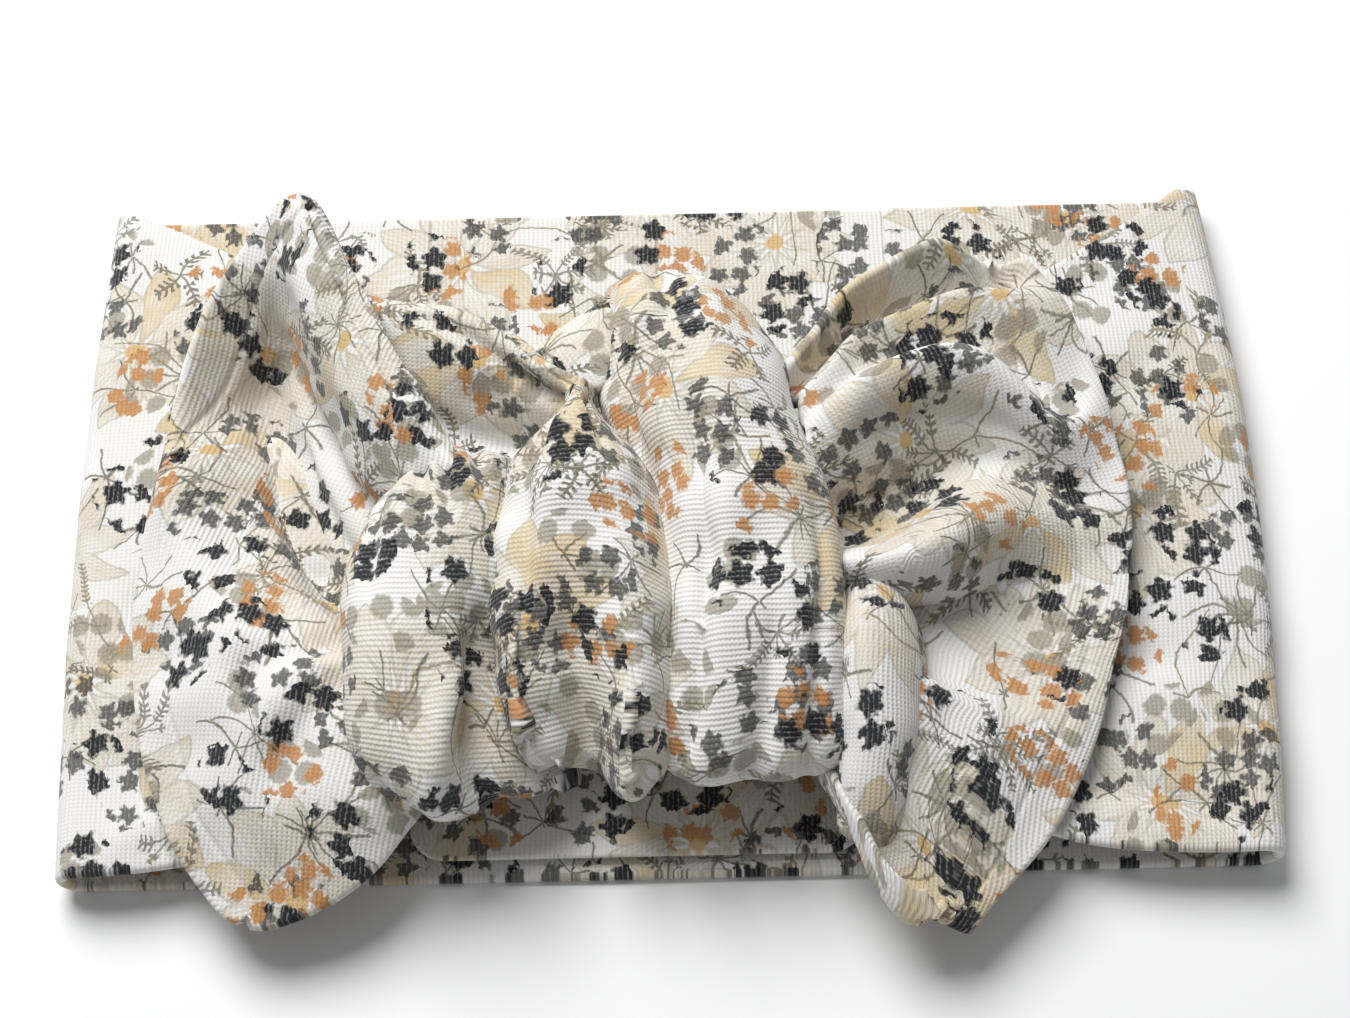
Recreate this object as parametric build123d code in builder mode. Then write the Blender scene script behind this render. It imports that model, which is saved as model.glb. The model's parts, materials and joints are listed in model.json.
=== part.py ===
"""A knotted headband of soft rib knit, lying flat on the back run of its ring.

The ring is a doubled band. Its rear run lies on the table and its front run lies over it,
joined by a turned fold at each side. A doubled strip is knotted round the gathered middle of
the front run, and the strip's two tails stand out as the wings of a bow.

The ring opens like a six-bar linkage. Its bends lie on lines along Y: two on the rear run, one
in each side fold, and one at each side of the knot. Both halves rise by the same steps, so the
linkage closes exactly at every opening.

Frame: +X to the right, +Y towards the top edge, +Z up off the table. The origin is the middle
of the rear run's lower face. Millimetres.
"""

import os
from math import cos, radians, sin, sqrt

from build123d import *

# driving dimensions
FLAT_WIDTH = 190.0
BAND_HEIGHT = 120.0
PLY = 0.9
RUN_GAP = 5.4  # the height of the space between the two runs
KNOT_HALF = 25.0  # from the middle to the bends at the knot's sides
BODY_GAP = 0.3  # clearance between pieces on different bodies

# levels of the two runs
REAR_MID = PLY
FRONT_LOW = 2 * PLY + RUN_GAP
FRONT_MID = FRONT_LOW + PLY
FRONT_TOP = FRONT_LOW + 2 * PLY

# the turned edges
FOLD_RADIUS = FRONT_TOP / 2
FOLD_X = FLAT_WIDTH / 2 - FOLD_RADIUS
FOLD_RING_IN = FOLD_RADIUS - 2 * PLY
FOLD_RING_PLY = 0.7
FOLD_RING_OUT = FOLD_RING_IN + FOLD_RING_PLY
OUTER_RING_IN = FOLD_RADIUS - 0.75
OUTER_RING_END = 165.0
PLY_GAP = 0.1
INNER_PLY_START = sqrt((OUTER_RING_IN + PLY_GAP) ** 2 - FOLD_RING_IN**2)

# the front run narrows from its full height at the fold to its gathered height at the knot
GATHER_HEIGHT = 64.0
EDGE_STRAIGHT = 88.0

# the knot
KNOT_FLOOR = FRONT_TOP + BODY_GAP
LOOP_HALF = 21.0
LOOP_LOW = 4.4
LOOP_PLY = 2 * PLY

# the wings
WING_ROOT_Z = 13.5
LEFT_ROOT_X = -52.0
RIGHT_ROOT_X = 30.0
ROOT_RADIUS = 2.0
WING_PLY = 1.6
WING_PLY_GAP = 0.4
SEAM_WIDTH = 2.2
SEAM_INSET = 4.0
SEAM_REACH = 30.0
LEFT_SEAM_X = -76.0
RIGHT_SEAM_X = 65.0

SIDES = (("left", -1), ("right", 1))


def save(name, builder):
    """Label a finished piece and write its STEP file."""
    builder.part.label = name
    export_step(builder.part, f"parts/{name}.step")


os.makedirs("parts", exist_ok=True)


# ---- rear run -------------------------------------------------------------------------------

CENTRE_END = KNOT_HALF - PLY - BODY_GAP

with BuildPart() as rear_centre_outer_ply:
    with BuildSketch(Plane.XY):
        Rectangle(2 * CENTRE_END, BAND_HEIGHT)
    extrude(amount=PLY)
save("rear_centre_outer_ply", rear_centre_outer_ply)

with BuildPart() as rear_centre_inner_ply:
    with BuildSketch(Plane.XY.offset(PLY)):
        Rectangle(2 * CENTRE_END, BAND_HEIGHT)
    extrude(amount=PLY)
save("rear_centre_inner_ply", rear_centre_inner_ply)

SEAM_RIDGE = 1.6
SEAM_END_GAP = 2.0

with BuildPart() as rear_joining_seam:
    with BuildSketch(Plane.XZ):
        with Locations((0, 2 * PLY)):
            Ellipse(SEAM_RIDGE, SEAM_RIDGE / 2)
        with Locations((0, 2 * PLY)):
            Rectangle(4 * SEAM_RIDGE, SEAM_RIDGE, align=(Align.CENTER, Align.MAX), mode=Mode.SUBTRACT)
    extrude(amount=BAND_HEIGHT / 2 - SEAM_END_GAP, both=True)
save("rear_joining_seam", rear_joining_seam)


def hinged_ply(side, hinge_z, face_z, end_x):
    """A ply from its hinge line out to end_x, with a quarter-round edge on the hinge line.

    The ply lies between the hinge's height and face_z, below it or above it.
    """
    rise = face_z - hinge_z
    tip = (side * (KNOT_HALF - PLY), hinge_z)
    bend = (side * (KNOT_HALF - PLY * cos(radians(45))), hinge_z + rise * sin(radians(45)))
    with BuildPart() as ply:
        with BuildSketch(Plane.XZ):
            with BuildLine():
                ThreePointArc(tip, bend, (side * KNOT_HALF, face_z))
                Polyline(
                    (side * KNOT_HALF, face_z),
                    (side * end_x, face_z),
                    (side * end_x, hinge_z),
                    tip,
                )
            make_face()
        extrude(amount=BAND_HEIGHT / 2, both=True)
    return ply


for side_name, side in SIDES:
    save(f"rear_{side_name}_outer_ply", hinged_ply(side, REAR_MID, 0, FOLD_X))
    save(f"rear_{side_name}_inner_ply", hinged_ply(side, REAR_MID, 2 * PLY, FOLD_X))


# ---- turned edges ---------------------------------------------------------------------------

def ring_sector(side, inner, outer, start, sweep):
    """The section of a bent ply round a side fold, in degrees from the inward direction."""
    centre = (side * FOLD_X, FOLD_RADIUS)
    angles = (start, start + sweep / 2, start + sweep)

    def at(radius, angle):
        turn = radians(angle)
        return (centre[0] - side * radius * cos(turn), centre[1] + radius * sin(turn))

    with BuildSketch() as sector:
        with BuildLine():
            ThreePointArc(*[at(outer, angle) for angle in angles])
            Line(at(outer, angles[2]), at(inner, angles[2]))
            ThreePointArc(*[at(inner, angle) for angle in reversed(angles)])
            Line(at(inner, angles[0]), at(outer, angles[0]))
        make_face()
    return sector.sketch


for side_name, side in SIDES:
    with BuildPart() as side_fold:
        with BuildSketch(Plane.XZ):
            add(ring_sector(side, FOLD_RING_IN, FOLD_RING_OUT, 90, 180))
        extrude(amount=BAND_HEIGHT / 2, both=True)
    save(f"{side_name}_side_fold", side_fold)


# ---- front run ------------------------------------------------------------------------------

def gather_outline(side):
    """The front run's half outline: full height at the fold, narrow at the knot."""
    knot_x = side * (KNOT_HALF - 2 * PLY)
    rim_x = side * (FLAT_WIDTH / 2 + 1)
    shoulder_x = side * EDGE_STRAIGHT
    half = BAND_HEIGHT / 2
    half_gather = GATHER_HEIGHT / 2
    with BuildSketch() as outline:
        with BuildLine():
            Line((knot_x, -half_gather), (knot_x, half_gather))
            Spline(
                (knot_x, half_gather),
                (shoulder_x, half),
                tangents=[(side, 0.5), (side, 0.3)],
            )
            Polyline((shoulder_x, half), (rim_x, half), (rim_x, -half), (shoulder_x, -half))
            Spline(
                (shoulder_x, -half),
                (knot_x, -half_gather),
                tangents=[(-side, 0.3), (-side, 0.5)],
            )
        make_face()
    return outline.sketch


for side_name, side in SIDES:
    outer_ply = hinged_ply(side, FRONT_MID, FRONT_TOP, FOLD_X)
    inner_ply = hinged_ply(side, FRONT_MID, FRONT_LOW, FOLD_X - INNER_PLY_START)

    with BuildPart() as front_outer_ply:
        add(outer_ply.part)
        with BuildSketch(Plane.XZ):
            add(ring_sector(side, OUTER_RING_IN, FOLD_RADIUS, 90, OUTER_RING_END - 90))
        extrude(amount=BAND_HEIGHT / 2, both=True)
        with BuildSketch(Plane.XY):
            add(gather_outline(side))
        extrude(amount=2 * FRONT_TOP, mode=Mode.INTERSECT)
    save(f"front_{side_name}_outer_ply", front_outer_ply)

    with BuildPart() as front_inner_ply:
        add(inner_ply.part)
        with BuildSketch(Plane.XY):
            add(gather_outline(side))
        extrude(amount=2 * FRONT_TOP, mode=Mode.INTERSECT)
    save(f"front_{side_name}_inner_ply", front_inner_ply)

PLEAT_IN = 55.0
PLEAT_OUT = 84.0
PLEAT_RISE = 2.0
PLEAT_ROUND = 1.6
PLEAT_WIDTH = 9.0
PLEAT_Y = {"left": -6.0, "right": 6.0}

for side_name, side in SIDES:
    with BuildPart() as front_pleat:
        with BuildSketch(Plane.XY.offset(FRONT_TOP)):
            with Locations((side * (PLEAT_IN + PLEAT_OUT) / 2, PLEAT_Y[side_name])):
                SlotOverall(PLEAT_OUT - PLEAT_IN, PLEAT_WIDTH)
        extrude(amount=PLEAT_RISE)
        top_edge = front_pleat.faces().sort_by(Axis.Z)[-1].edges()
        fillet(top_edge, radius=PLEAT_ROUND)
    save(f"front_{side_name}_pleat", front_pleat)

GATHER_INSET = 2.0
GATHER_ROUND = 3.0

with BuildPart() as gathered_centre:
    with BuildSketch(Plane.XY.offset(FRONT_LOW)):
        RectangleRounded(2 * CENTRE_END, GATHER_HEIGHT - 2 * GATHER_INSET, GATHER_ROUND)
    extrude(amount=2 * PLY)
save("gathered_centre", gathered_centre)


# ---- knot -----------------------------------------------------------------------------------

LOOP_REACH = 37.0
LOOP_ROUND = 1.4

with BuildPart() as knot_back_loop:
    with BuildSketch(Plane.YZ):
        with Locations((0, LOOP_LOW)):
            Rectangle(2 * LOOP_REACH, KNOT_FLOOR - LOOP_LOW, align=(Align.CENTER, Align.MIN))
        with Locations((0, LOOP_LOW + LOOP_PLY)):
            Rectangle(
                2 * (LOOP_REACH - LOOP_PLY),
                KNOT_FLOOR,
                align=(Align.CENTER, Align.MIN),
                mode=Mode.SUBTRACT,
            )
    extrude(amount=LOOP_HALF, both=True)
    outer_corners = knot_back_loop.edges().filter_by(Axis.X).group_by(Axis.Z)[0]
    fillet(outer_corners, radius=LOOP_ROUND)
save("knot_back_loop", knot_back_loop)

UNDER_FOLD_LOW = 2 * PLY + SEAM_RIDGE / 2 + BODY_GAP
UNDER_FOLD_LEFT = -40.0
UNDER_FOLD_RIGHT = 36.0
UNDER_FOLD_BOTTOM = -57.5
UNDER_FOLD_SHOULDER = -42.5
UNDER_FOLD_ROUND = 4.0

# a wide flap below the front run, and a narrow tongue that joins it to the loop's underside
with BuildPart() as knot_under_fold:
    with BuildSketch(Plane.XY.offset(UNDER_FOLD_LOW)):
        with Locations((UNDER_FOLD_LEFT, UNDER_FOLD_BOTTOM)):
            Rectangle(
                UNDER_FOLD_RIGHT - UNDER_FOLD_LEFT,
                UNDER_FOLD_SHOULDER - UNDER_FOLD_BOTTOM,
                align=(Align.MIN, Align.MIN),
            )
        with Locations((0, UNDER_FOLD_BOTTOM)):
            Rectangle(
                2 * (LOOP_HALF - LOOP_PLY),
                -LOOP_REACH + 2 * LOOP_PLY - UNDER_FOLD_BOTTOM,
                align=(Align.CENTER, Align.MIN),
            )
    extrude(amount=LOOP_LOW - UNDER_FOLD_LOW)
    lower_corners = knot_under_fold.edges().filter_by(Axis.Z).group_by(Axis.Y)[0]
    fillet(lower_corners, radius=UNDER_FOLD_ROUND)
save("knot_under_fold", knot_under_fold)


def puff(sections):
    """Loft a rounded puff of cloth along X.

    Each section is (x, lower y, upper y, top z): a dome that stands on the knot's floor.
    """
    with BuildPart() as dome:
        for x, low, high, top in sections:
            with BuildSketch(Plane.YZ.offset(x)):
                with BuildLine():
                    mid = (low + high) / 2
                    Spline(
                        (low, KNOT_FLOOR),
                        (mid, top),
                        (high, KNOT_FLOOR),
                        tangents=[(-0.15, 1), (1, 0), (0.15, -1)],
                    )
                    Line((high, KNOT_FLOOR), (low, KNOT_FLOOR))
                make_face()
        loft()
    return dome


LEFT_PUFF = ((-49, -43, -7, 18), (-43, -51, 0, 27), (-34, -54, 3, 31), (-21.5, -52, 0, 27))
MIDDLE_PUFF = ((-21.5, -50, 2, 27), (-13, -52, 10, 33), (-6, -52, 9, 33), (-2, -50, 5, 29))
RIGHT_PUFF = (
    (-2, -48, 31, 27),
    (6, -50, 34, 32),
    (16, -50, 26, 32),
    (23, -50, 10, 27),
    (27, -46, -2, 19),
)

for puff_name, sections in (("left", LEFT_PUFF), ("middle", MIDDLE_PUFF), ("right", RIGHT_PUFF)):
    save(f"knot_{puff_name}_puff", puff(sections))

UPPER_FOLD_GAP = 1.0
UPPER_FOLD_HEIGHT = 12.7
UPPER_FOLD_ROUND = 1.5
UPPER_FOLD_OUTLINE = (
    (-48, 5.5),
    (-49.5, 33),
    (-28, 27),
    (-4.5, 36.5),
    (-4.5, 32),
    (-22, 12),
    (-22, 5.5),
)

with BuildPart() as knot_upper_fold:
    with BuildSketch(Plane.XY.offset(KNOT_FLOOR + UPPER_FOLD_GAP)):
        with BuildLine():
            Polyline(*UPPER_FOLD_OUTLINE, close=True)
        make_face()
    extrude(amount=UPPER_FOLD_HEIGHT)
    upper_edges = knot_upper_fold.faces().sort_by(Axis.Z)[-1].edges()
    fillet(upper_edges, radius=UPPER_FOLD_ROUND)
save("knot_upper_fold", knot_upper_fold)

STITCH_RADIUS = 0.25
STITCH_PITCH = 8.0
STITCH_ROW_GAP = 40.0

with BuildPart() as tack_stitches:
    with BuildSketch(Plane.XY.offset(LOOP_LOW + LOOP_PLY)):
        with GridLocations(STITCH_PITCH, STITCH_ROW_GAP, 5, 2):
            Circle(STITCH_RADIUS)
    extrude(amount=FRONT_LOW - LOOP_LOW - LOOP_PLY)
save("tack_stitches", tack_stitches)


# ---- wings ----------------------------------------------------------------------------------

WING_SPAN_Y = 160.0
WING_CUT_HEIGHT = 60.0
WING_TIP_ROUND = 3.0
ROOT_START_Y = 2.0
ROOT_LENGTH = 44.0


def wing_sheet(levels, lift):
    """A bent cloth across the wing: a wave along X, as levels of (x, z), run along Y."""
    low = [(x, z + lift) for x, z in levels]
    high = [(x, z + WING_PLY) for x, z in low]
    with BuildPart() as sheet:
        with BuildSketch(Plane.XZ):
            with BuildLine():
                Spline(*low)
                Line(low[-1], high[-1])
                Spline(*reversed(high))
                Line(high[0], low[0])
            make_face()
        extrude(amount=WING_SPAN_Y / 2, both=True)
    return sheet.part


def wing_outline(corners, inset=0.0):
    """The wing's plan: straight sides between its corners, rounded at the tips."""
    with BuildSketch() as outline:
        with BuildLine():
            Polyline(*corners, close=True)
        make_face()
        fillet(outline.vertices(), radius=WING_TIP_ROUND)
        if inset:
            offset(amount=-inset)
    return outline.sketch


LEFT_OUTLINE = (
    (LEFT_ROOT_X, 30),
    (-59, 50),
    (-74, 33),
    (-83, 0),
    (-84, -30),
    (-79, -52),
    (-65, -71),
    (-47, -67),
    (-41, -57.5),
    (LEFT_ROOT_X, -57),
)
LEFT_LEVELS = ((-86, 14), (-78, 17), (-69, 12), (-60, 17), (LEFT_ROOT_X, 13.5), (-40, 12))

RIGHT_OUTLINE = (
    (RIGHT_ROOT_X, 29),
    (43, 38),
    (58, 41),
    (70, 24),
    (76, -5),
    (71, -32),
    (60, -56),
    (45, -73),
    (RIGHT_ROOT_X, -62),
)
RIGHT_LEVELS = ((RIGHT_ROOT_X, 13.5), (40, 16.5), (52, 12), (64, 15), (78, 12))


def wing_ply(levels, outline, root_x, lift, rooted):
    """One ply of a wing, cut to its plan. The back ply carries the rounded root."""
    with BuildPart() as ply:
        add(wing_sheet(levels, lift))
        with BuildSketch(Plane.XY):
            add(wing_outline(outline))
        extrude(amount=WING_CUT_HEIGHT, mode=Mode.INTERSECT)
        if rooted:
            with BuildSketch(Plane.XZ.offset(-ROOT_START_Y)):
                with Locations((root_x, WING_ROOT_Z)):
                    Circle(ROOT_RADIUS)
            extrude(amount=ROOT_LENGTH)
    return ply


def end_seam(levels, outline, lift, outer_x):
    """The rolled seam along the wing's outer edge, lying on its face ply."""
    with BuildPart() as seam:
        add(wing_sheet(levels, lift))
        with BuildSketch(Plane.XY):
            add(wing_outline(outline, inset=SEAM_INSET))
            add(wing_outline(outline, inset=SEAM_INSET + SEAM_WIDTH), mode=Mode.SUBTRACT)
            with Locations((outer_x, 0)):
                Rectangle(SEAM_REACH, WING_SPAN_Y, mode=Mode.INTERSECT)
        extrude(amount=WING_CUT_HEIGHT, mode=Mode.INTERSECT)
    return seam


FACE_LIFT = WING_PLY + WING_PLY_GAP
SEAM_LIFT = FACE_LIFT + WING_PLY

save("left_wing_back_ply", wing_ply(LEFT_LEVELS, LEFT_OUTLINE, LEFT_ROOT_X, 0, True))
save("left_wing_face_ply", wing_ply(LEFT_LEVELS, LEFT_OUTLINE, LEFT_ROOT_X, FACE_LIFT, False))
save("right_wing_back_ply", wing_ply(RIGHT_LEVELS, RIGHT_OUTLINE, RIGHT_ROOT_X, 0, True))
save("right_wing_face_ply", wing_ply(RIGHT_LEVELS, RIGHT_OUTLINE, RIGHT_ROOT_X, FACE_LIFT, False))
save("left_wing_end_seam", end_seam(LEFT_LEVELS, LEFT_OUTLINE, SEAM_LIFT, LEFT_SEAM_X))
save("right_wing_end_seam", end_seam(RIGHT_LEVELS, RIGHT_OUTLINE, SEAM_LIFT, RIGHT_SEAM_X))


def roll(start, end, radius, top_radius):
    """A rolled fold of cloth lying along a wing: a tapered round bar with domed ends."""
    run = Vector(*end) - Vector(*start)
    with BuildPart() as bar:
        with BuildSketch(Plane(origin=start, z_dir=run)):
            Circle(radius)
        with BuildSketch(Plane(origin=end, z_dir=run)):
            Circle(top_radius)
        loft()
    return bar


save("left_wing_ridge_roll", roll((-57.5, 42, 26), (-58.5, -8, 26), 3.4, 4.0))
save("right_wing_inner_roll", roll((36, -12, 26), (58, -6, 24), 5.0, 4.0))
save("right_wing_lower_roll", roll((40, -24, 25), (41.5, -58, 24.5), 4.2, 3.5))
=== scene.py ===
# %% [markdown]
# # A knotted headband of printed rib knit
#
# The object is a wide, soft ring of doubled cloth that lies flat, with a second doubled strip
# knotted round its front. Everything that shows is cloth, so nearly everything here is a
# curved sheet. This notebook builds each sheet from a few control points, gives it
# thickness, and prints and knits it with a node material.
#
# The first cell loads the imported model. It is the fixed frame: it says where each body is and
# how it moves, and some pieces of cloth made below ride on it.

# %% Load the frame
import json
import math

import bpy
import numpy as np
from mathutils import Matrix, Vector


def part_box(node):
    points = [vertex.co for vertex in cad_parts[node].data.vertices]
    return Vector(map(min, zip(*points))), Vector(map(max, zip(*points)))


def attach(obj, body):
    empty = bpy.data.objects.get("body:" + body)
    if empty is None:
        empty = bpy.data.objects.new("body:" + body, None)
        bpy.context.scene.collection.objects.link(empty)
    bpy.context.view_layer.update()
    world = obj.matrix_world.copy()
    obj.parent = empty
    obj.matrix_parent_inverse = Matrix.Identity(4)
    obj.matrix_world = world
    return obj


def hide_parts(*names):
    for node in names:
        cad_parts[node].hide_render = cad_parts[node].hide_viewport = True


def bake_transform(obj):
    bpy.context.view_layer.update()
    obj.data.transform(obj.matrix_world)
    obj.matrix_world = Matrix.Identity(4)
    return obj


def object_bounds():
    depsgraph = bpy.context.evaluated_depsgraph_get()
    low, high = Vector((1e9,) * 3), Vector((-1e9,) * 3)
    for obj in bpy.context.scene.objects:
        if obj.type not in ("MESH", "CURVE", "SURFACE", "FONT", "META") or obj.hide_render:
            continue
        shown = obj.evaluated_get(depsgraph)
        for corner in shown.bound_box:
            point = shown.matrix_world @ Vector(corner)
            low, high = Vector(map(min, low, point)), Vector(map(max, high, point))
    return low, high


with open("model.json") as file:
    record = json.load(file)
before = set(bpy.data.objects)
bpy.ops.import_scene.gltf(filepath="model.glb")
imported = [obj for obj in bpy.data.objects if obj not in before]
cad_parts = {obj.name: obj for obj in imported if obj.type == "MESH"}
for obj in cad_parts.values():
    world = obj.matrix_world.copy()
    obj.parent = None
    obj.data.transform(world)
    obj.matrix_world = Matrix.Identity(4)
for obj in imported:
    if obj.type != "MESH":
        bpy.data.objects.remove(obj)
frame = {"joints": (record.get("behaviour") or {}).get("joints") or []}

CAD_BOX = [list(corner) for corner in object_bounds()]

# %% [markdown]
# Cloth is easiest to think about in millimetres, and Blender works in metres, so one factor
# turns the first into the second. The places where the ring bends are the joints' own
# positions, read from the frame rather than typed again.

# %% Sizes read from the frame
MM = 0.001
joint_at = {joint["name"]: Vector(joint["pos_m"]) / MM for joint in frame["joints"]}
FOLD_X = abs(joint_at["left_fold_turn"].x)
FOLD_Z = joint_at["left_fold_turn"].z
CLOTH = 2 * joint_at["band_opening"].z
OUTER_X = -CAD_BOX[0][0] / MM
OUTER_R = OUTER_X - FOLD_X
BAND_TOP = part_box("rear_centre_outer_ply")[1].y / MM
FRONT_Z = 2 * FOLD_Z
print(f"band {2 * OUTER_X:.0f} x {2 * BAND_TOP:.0f} mm, doubled cloth {CLOTH:.1f} mm")

# %% [markdown]
# The camera looks down at the headband at a slant, the way a maker photographs a piece on a
# table. A camera's place is a distance back from the point it aims at; its axes are the
# columns of its matrix. A long lens keeps the band's sides nearly parallel.

# %% Camera
VIEW_SLANT = math.radians(64.44)
VIEW_DISTANCE = 0.3956
VIEW_ROLL = math.radians(-1.26)
VIEW_AIM = Vector((0.0020, 0.0033, 0.0))
VIEW_LENS = 62.9

scene = bpy.context.scene
camera = bpy.data.objects.new("camera", bpy.data.cameras.new("camera"))
scene.collection.objects.link(camera)
scene.camera = camera
camera.data.lens = VIEW_LENS
camera.data.clip_start = 0.01
back = Vector((0, -math.cos(VIEW_SLANT), math.sin(VIEW_SLANT)))
level_right = Vector((1, 0, 0))
level_up = back.cross(level_right)
right = level_right * math.cos(VIEW_ROLL) + level_up * math.sin(VIEW_ROLL)
up = level_up * math.cos(VIEW_ROLL) - level_right * math.sin(VIEW_ROLL)
axes = Matrix((right, up, back)).transposed().to_4x4()
camera.matrix_world = Matrix.Translation(VIEW_AIM + back * VIEW_DISTANCE) @ axes
print("camera looks down at", round(math.degrees(VIEW_SLANT)), "degrees")

# %% [markdown]
# One big soft lamp, high up behind the object and a little to the left, does most of the work,
# so that the folds shade gently towards the viewer. A very weak one in front opens the shadows,
# and the world fills in the rest. Big lamps make soft edges because each point sees a large
# part of them.

# %% Floor and light
def soft_lamp(name, place, size, power):
    """An area lamp aimed at the middle of the object."""
    light = bpy.data.lights.new(name, "AREA")
    light.shape = "DISK"
    light.size = size
    light.energy = power
    lamp = bpy.data.objects.new(name, light)
    scene.collection.objects.link(lamp)
    lamp.location = place
    lamp.rotation_euler = (-Vector(place)).to_track_quat("-Z", "Y").to_euler()


FLOOR = 3.0
floor_corners = [(-FLOOR, -FLOOR, 0), (FLOOR, -FLOOR, 0), (FLOOR, FLOOR, 0), (-FLOOR, FLOOR, 0)]
floor_mesh = bpy.data.meshes.new("floor")
floor_mesh.from_pydata(floor_corners, [], [(0, 1, 2, 3)])
floor = bpy.data.objects.new("floor", floor_mesh)
scene.collection.objects.link(floor)
floor_finish = bpy.data.materials.new("pale_floor")
floor_finish.use_nodes = True
floor_shader = floor_finish.node_tree.nodes["Principled BSDF"]
floor_shader.inputs["Base Color"].default_value = (0.93, 0.93, 0.93, 1)
floor_shader.inputs["Roughness"].default_value = 0.9
floor_shader.inputs["Specular IOR Level"].default_value = 0.1
floor_mesh.materials.append(floor_finish)

soft_lamp("window_light", place=(-0.24, 0.42, 0.66), size=0.58, power=8.5)
soft_lamp("front_fill", place=(0.25, -0.75, 0.60), size=0.80, power=0.1)
world = bpy.data.worlds.new("studio")
scene.world = world
world.use_nodes = True
sky = world.node_tree.nodes["Background"]
sky.inputs["Color"].default_value = (0.96, 0.98, 1.0, 1)
sky.inputs["Strength"].default_value = 0.23
scene.view_settings.view_transform = "Standard"

# %% [markdown]
# ## From control points to cloth
#
# A sheet of cloth is a grid of control points, a few rows by a few columns, placed
# where the cloth turns. A cubic B-spline through such a grid is smooth everywhere, which is
# what knitted cloth looks like. A B-spline cuts inside its points and would flatten every fold,
# so `pull` first moves the points outward, most of the way to where the spline would pass
# through them all. Going the whole way would make the cloth wiggle.

# %% Spline weights
TIGHTNESS = 0.72


def spline_weights(points, samples):
    """Cubic B-spline weights: a row for each sample, and the ends reach the end points."""
    degree = min(3, points - 1)
    inner = np.linspace(0, 1, points - degree + 1)
    knots = np.concatenate([np.zeros(degree), inner, np.ones(degree)])
    at = np.linspace(0, 1, samples)
    basis = np.zeros((samples, len(knots) - 1))
    span = np.clip(np.searchsorted(knots, at, side="right") - 1, degree, points - 1)
    basis[np.arange(samples), span] = 1
    for order in range(1, degree + 1):
        for i in range(len(knots) - 1 - order):
            rise = knots[i + order] - knots[i]
            fall = knots[i + order + 1] - knots[i + 1]
            left = (at - knots[i]) / rise * basis[:, i] if rise else 0
            right_part = (knots[i + order + 1] - at) / fall * basis[:, i + 1] if fall else 0
            basis[:, i] = left + right_part
    return basis[:, :points]


def pull(points):
    """How far to move each control point so that the spline comes near the point itself."""
    through = np.linalg.inv(spline_weights(points, points))
    return (1 - TIGHTNESS) * np.eye(points) + TIGHTNESS * through


def spline_sheet(rows, along, across):
    """Sample a grid of points to along by across points, in millimetres."""
    net = np.array(rows, float)
    first = spline_weights(net.shape[0], along) @ pull(net.shape[0])
    second = spline_weights(net.shape[1], across) @ pull(net.shape[1])
    return np.einsum("ai,bj,ijk->abk", first, second, net)


print("weights of the middle sample:", spline_weights(5, 3)[1].round(3))

# %% [markdown]
# A few small tools work on the sampled sheet. `sheet_normals` finds which way it faces, and
# `round_corner` rounds a turned-out corner.

# %% Normals and corners
def sheet_normals(sheet):
    """Unit normals of a sampled sheet."""
    along = np.gradient(sheet, axis=0)
    across = np.gradient(sheet, axis=1)
    normal = np.cross(along, across)
    return normal / np.maximum(np.linalg.norm(normal, axis=2, keepdims=True), 1e-9)


def round_corner(sheet, last_row, last_column, radius):
    """Round one corner of a sheet by sliding the points near it inward, over the sheet itself."""
    rows, columns = sheet.shape[:2]
    a, b = np.meshgrid(np.arange(rows, dtype=float), np.arange(columns, dtype=float), indexing="ij")
    corner_a, corner_b = (rows - 1) * last_row, (columns - 1) * last_column
    inner_a, inner_b = (1, rows - 2)[last_row], (1, columns - 2)[last_column]
    step_a = np.linalg.norm(sheet[inner_a, corner_b] - sheet[corner_a, corner_b])
    step_b = np.linalg.norm(sheet[corner_a, inner_b] - sheet[corner_a, corner_b])
    from_a = np.abs(a - corner_a) * step_a
    from_b = np.abs(b - corner_b) * step_b
    out_a, out_b = np.maximum(radius - from_a, 0), np.maximum(radius - from_b, 0)
    length = np.maximum(np.hypot(out_a, out_b), 1e-9)
    shrink = np.where((out_a > 0) & (out_b > 0), np.maximum(out_a, out_b) / length, 1)
    a = a + (1, -1)[last_row] * out_a * (1 - shrink) / step_a
    b = b + (1, -1)[last_column] * out_b * (1 - shrink) / step_b
    low_a, low_b = np.minimum(a.astype(int), rows - 2), np.minimum(b.astype(int), columns - 2)
    part_a, part_b = (a - low_a)[..., None], (b - low_b)[..., None]
    near = sheet[low_a, low_b] * (1 - part_b) + sheet[low_a, low_b + 1] * part_b
    far = sheet[low_a + 1, low_b] * (1 - part_b) + sheet[low_a + 1, low_b + 1] * part_b
    return near * (1 - part_a) + far * part_a


print("tools: sheet_normals, round_corner")

# %% [markdown]
# Real cloth is never as smooth as its spline. `crease` presses a groove, or with a negative
# depth raises a ridge, along a line drawn on the sheet. `creased` presses one after another
# from a list, in which each line says start, end, width, depth and, if it is bowed, bend.
# `ripple` adds a slow, seeded unevenness: a few waves that cross each other at random.

# %% Creases and ripples
CREASE_TAIL = 1.5
CREASE_FADE = 4
CREASE_END_DEPTH = 0.35
WAVES = 9
LAST_PHASE = 6.3


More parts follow.
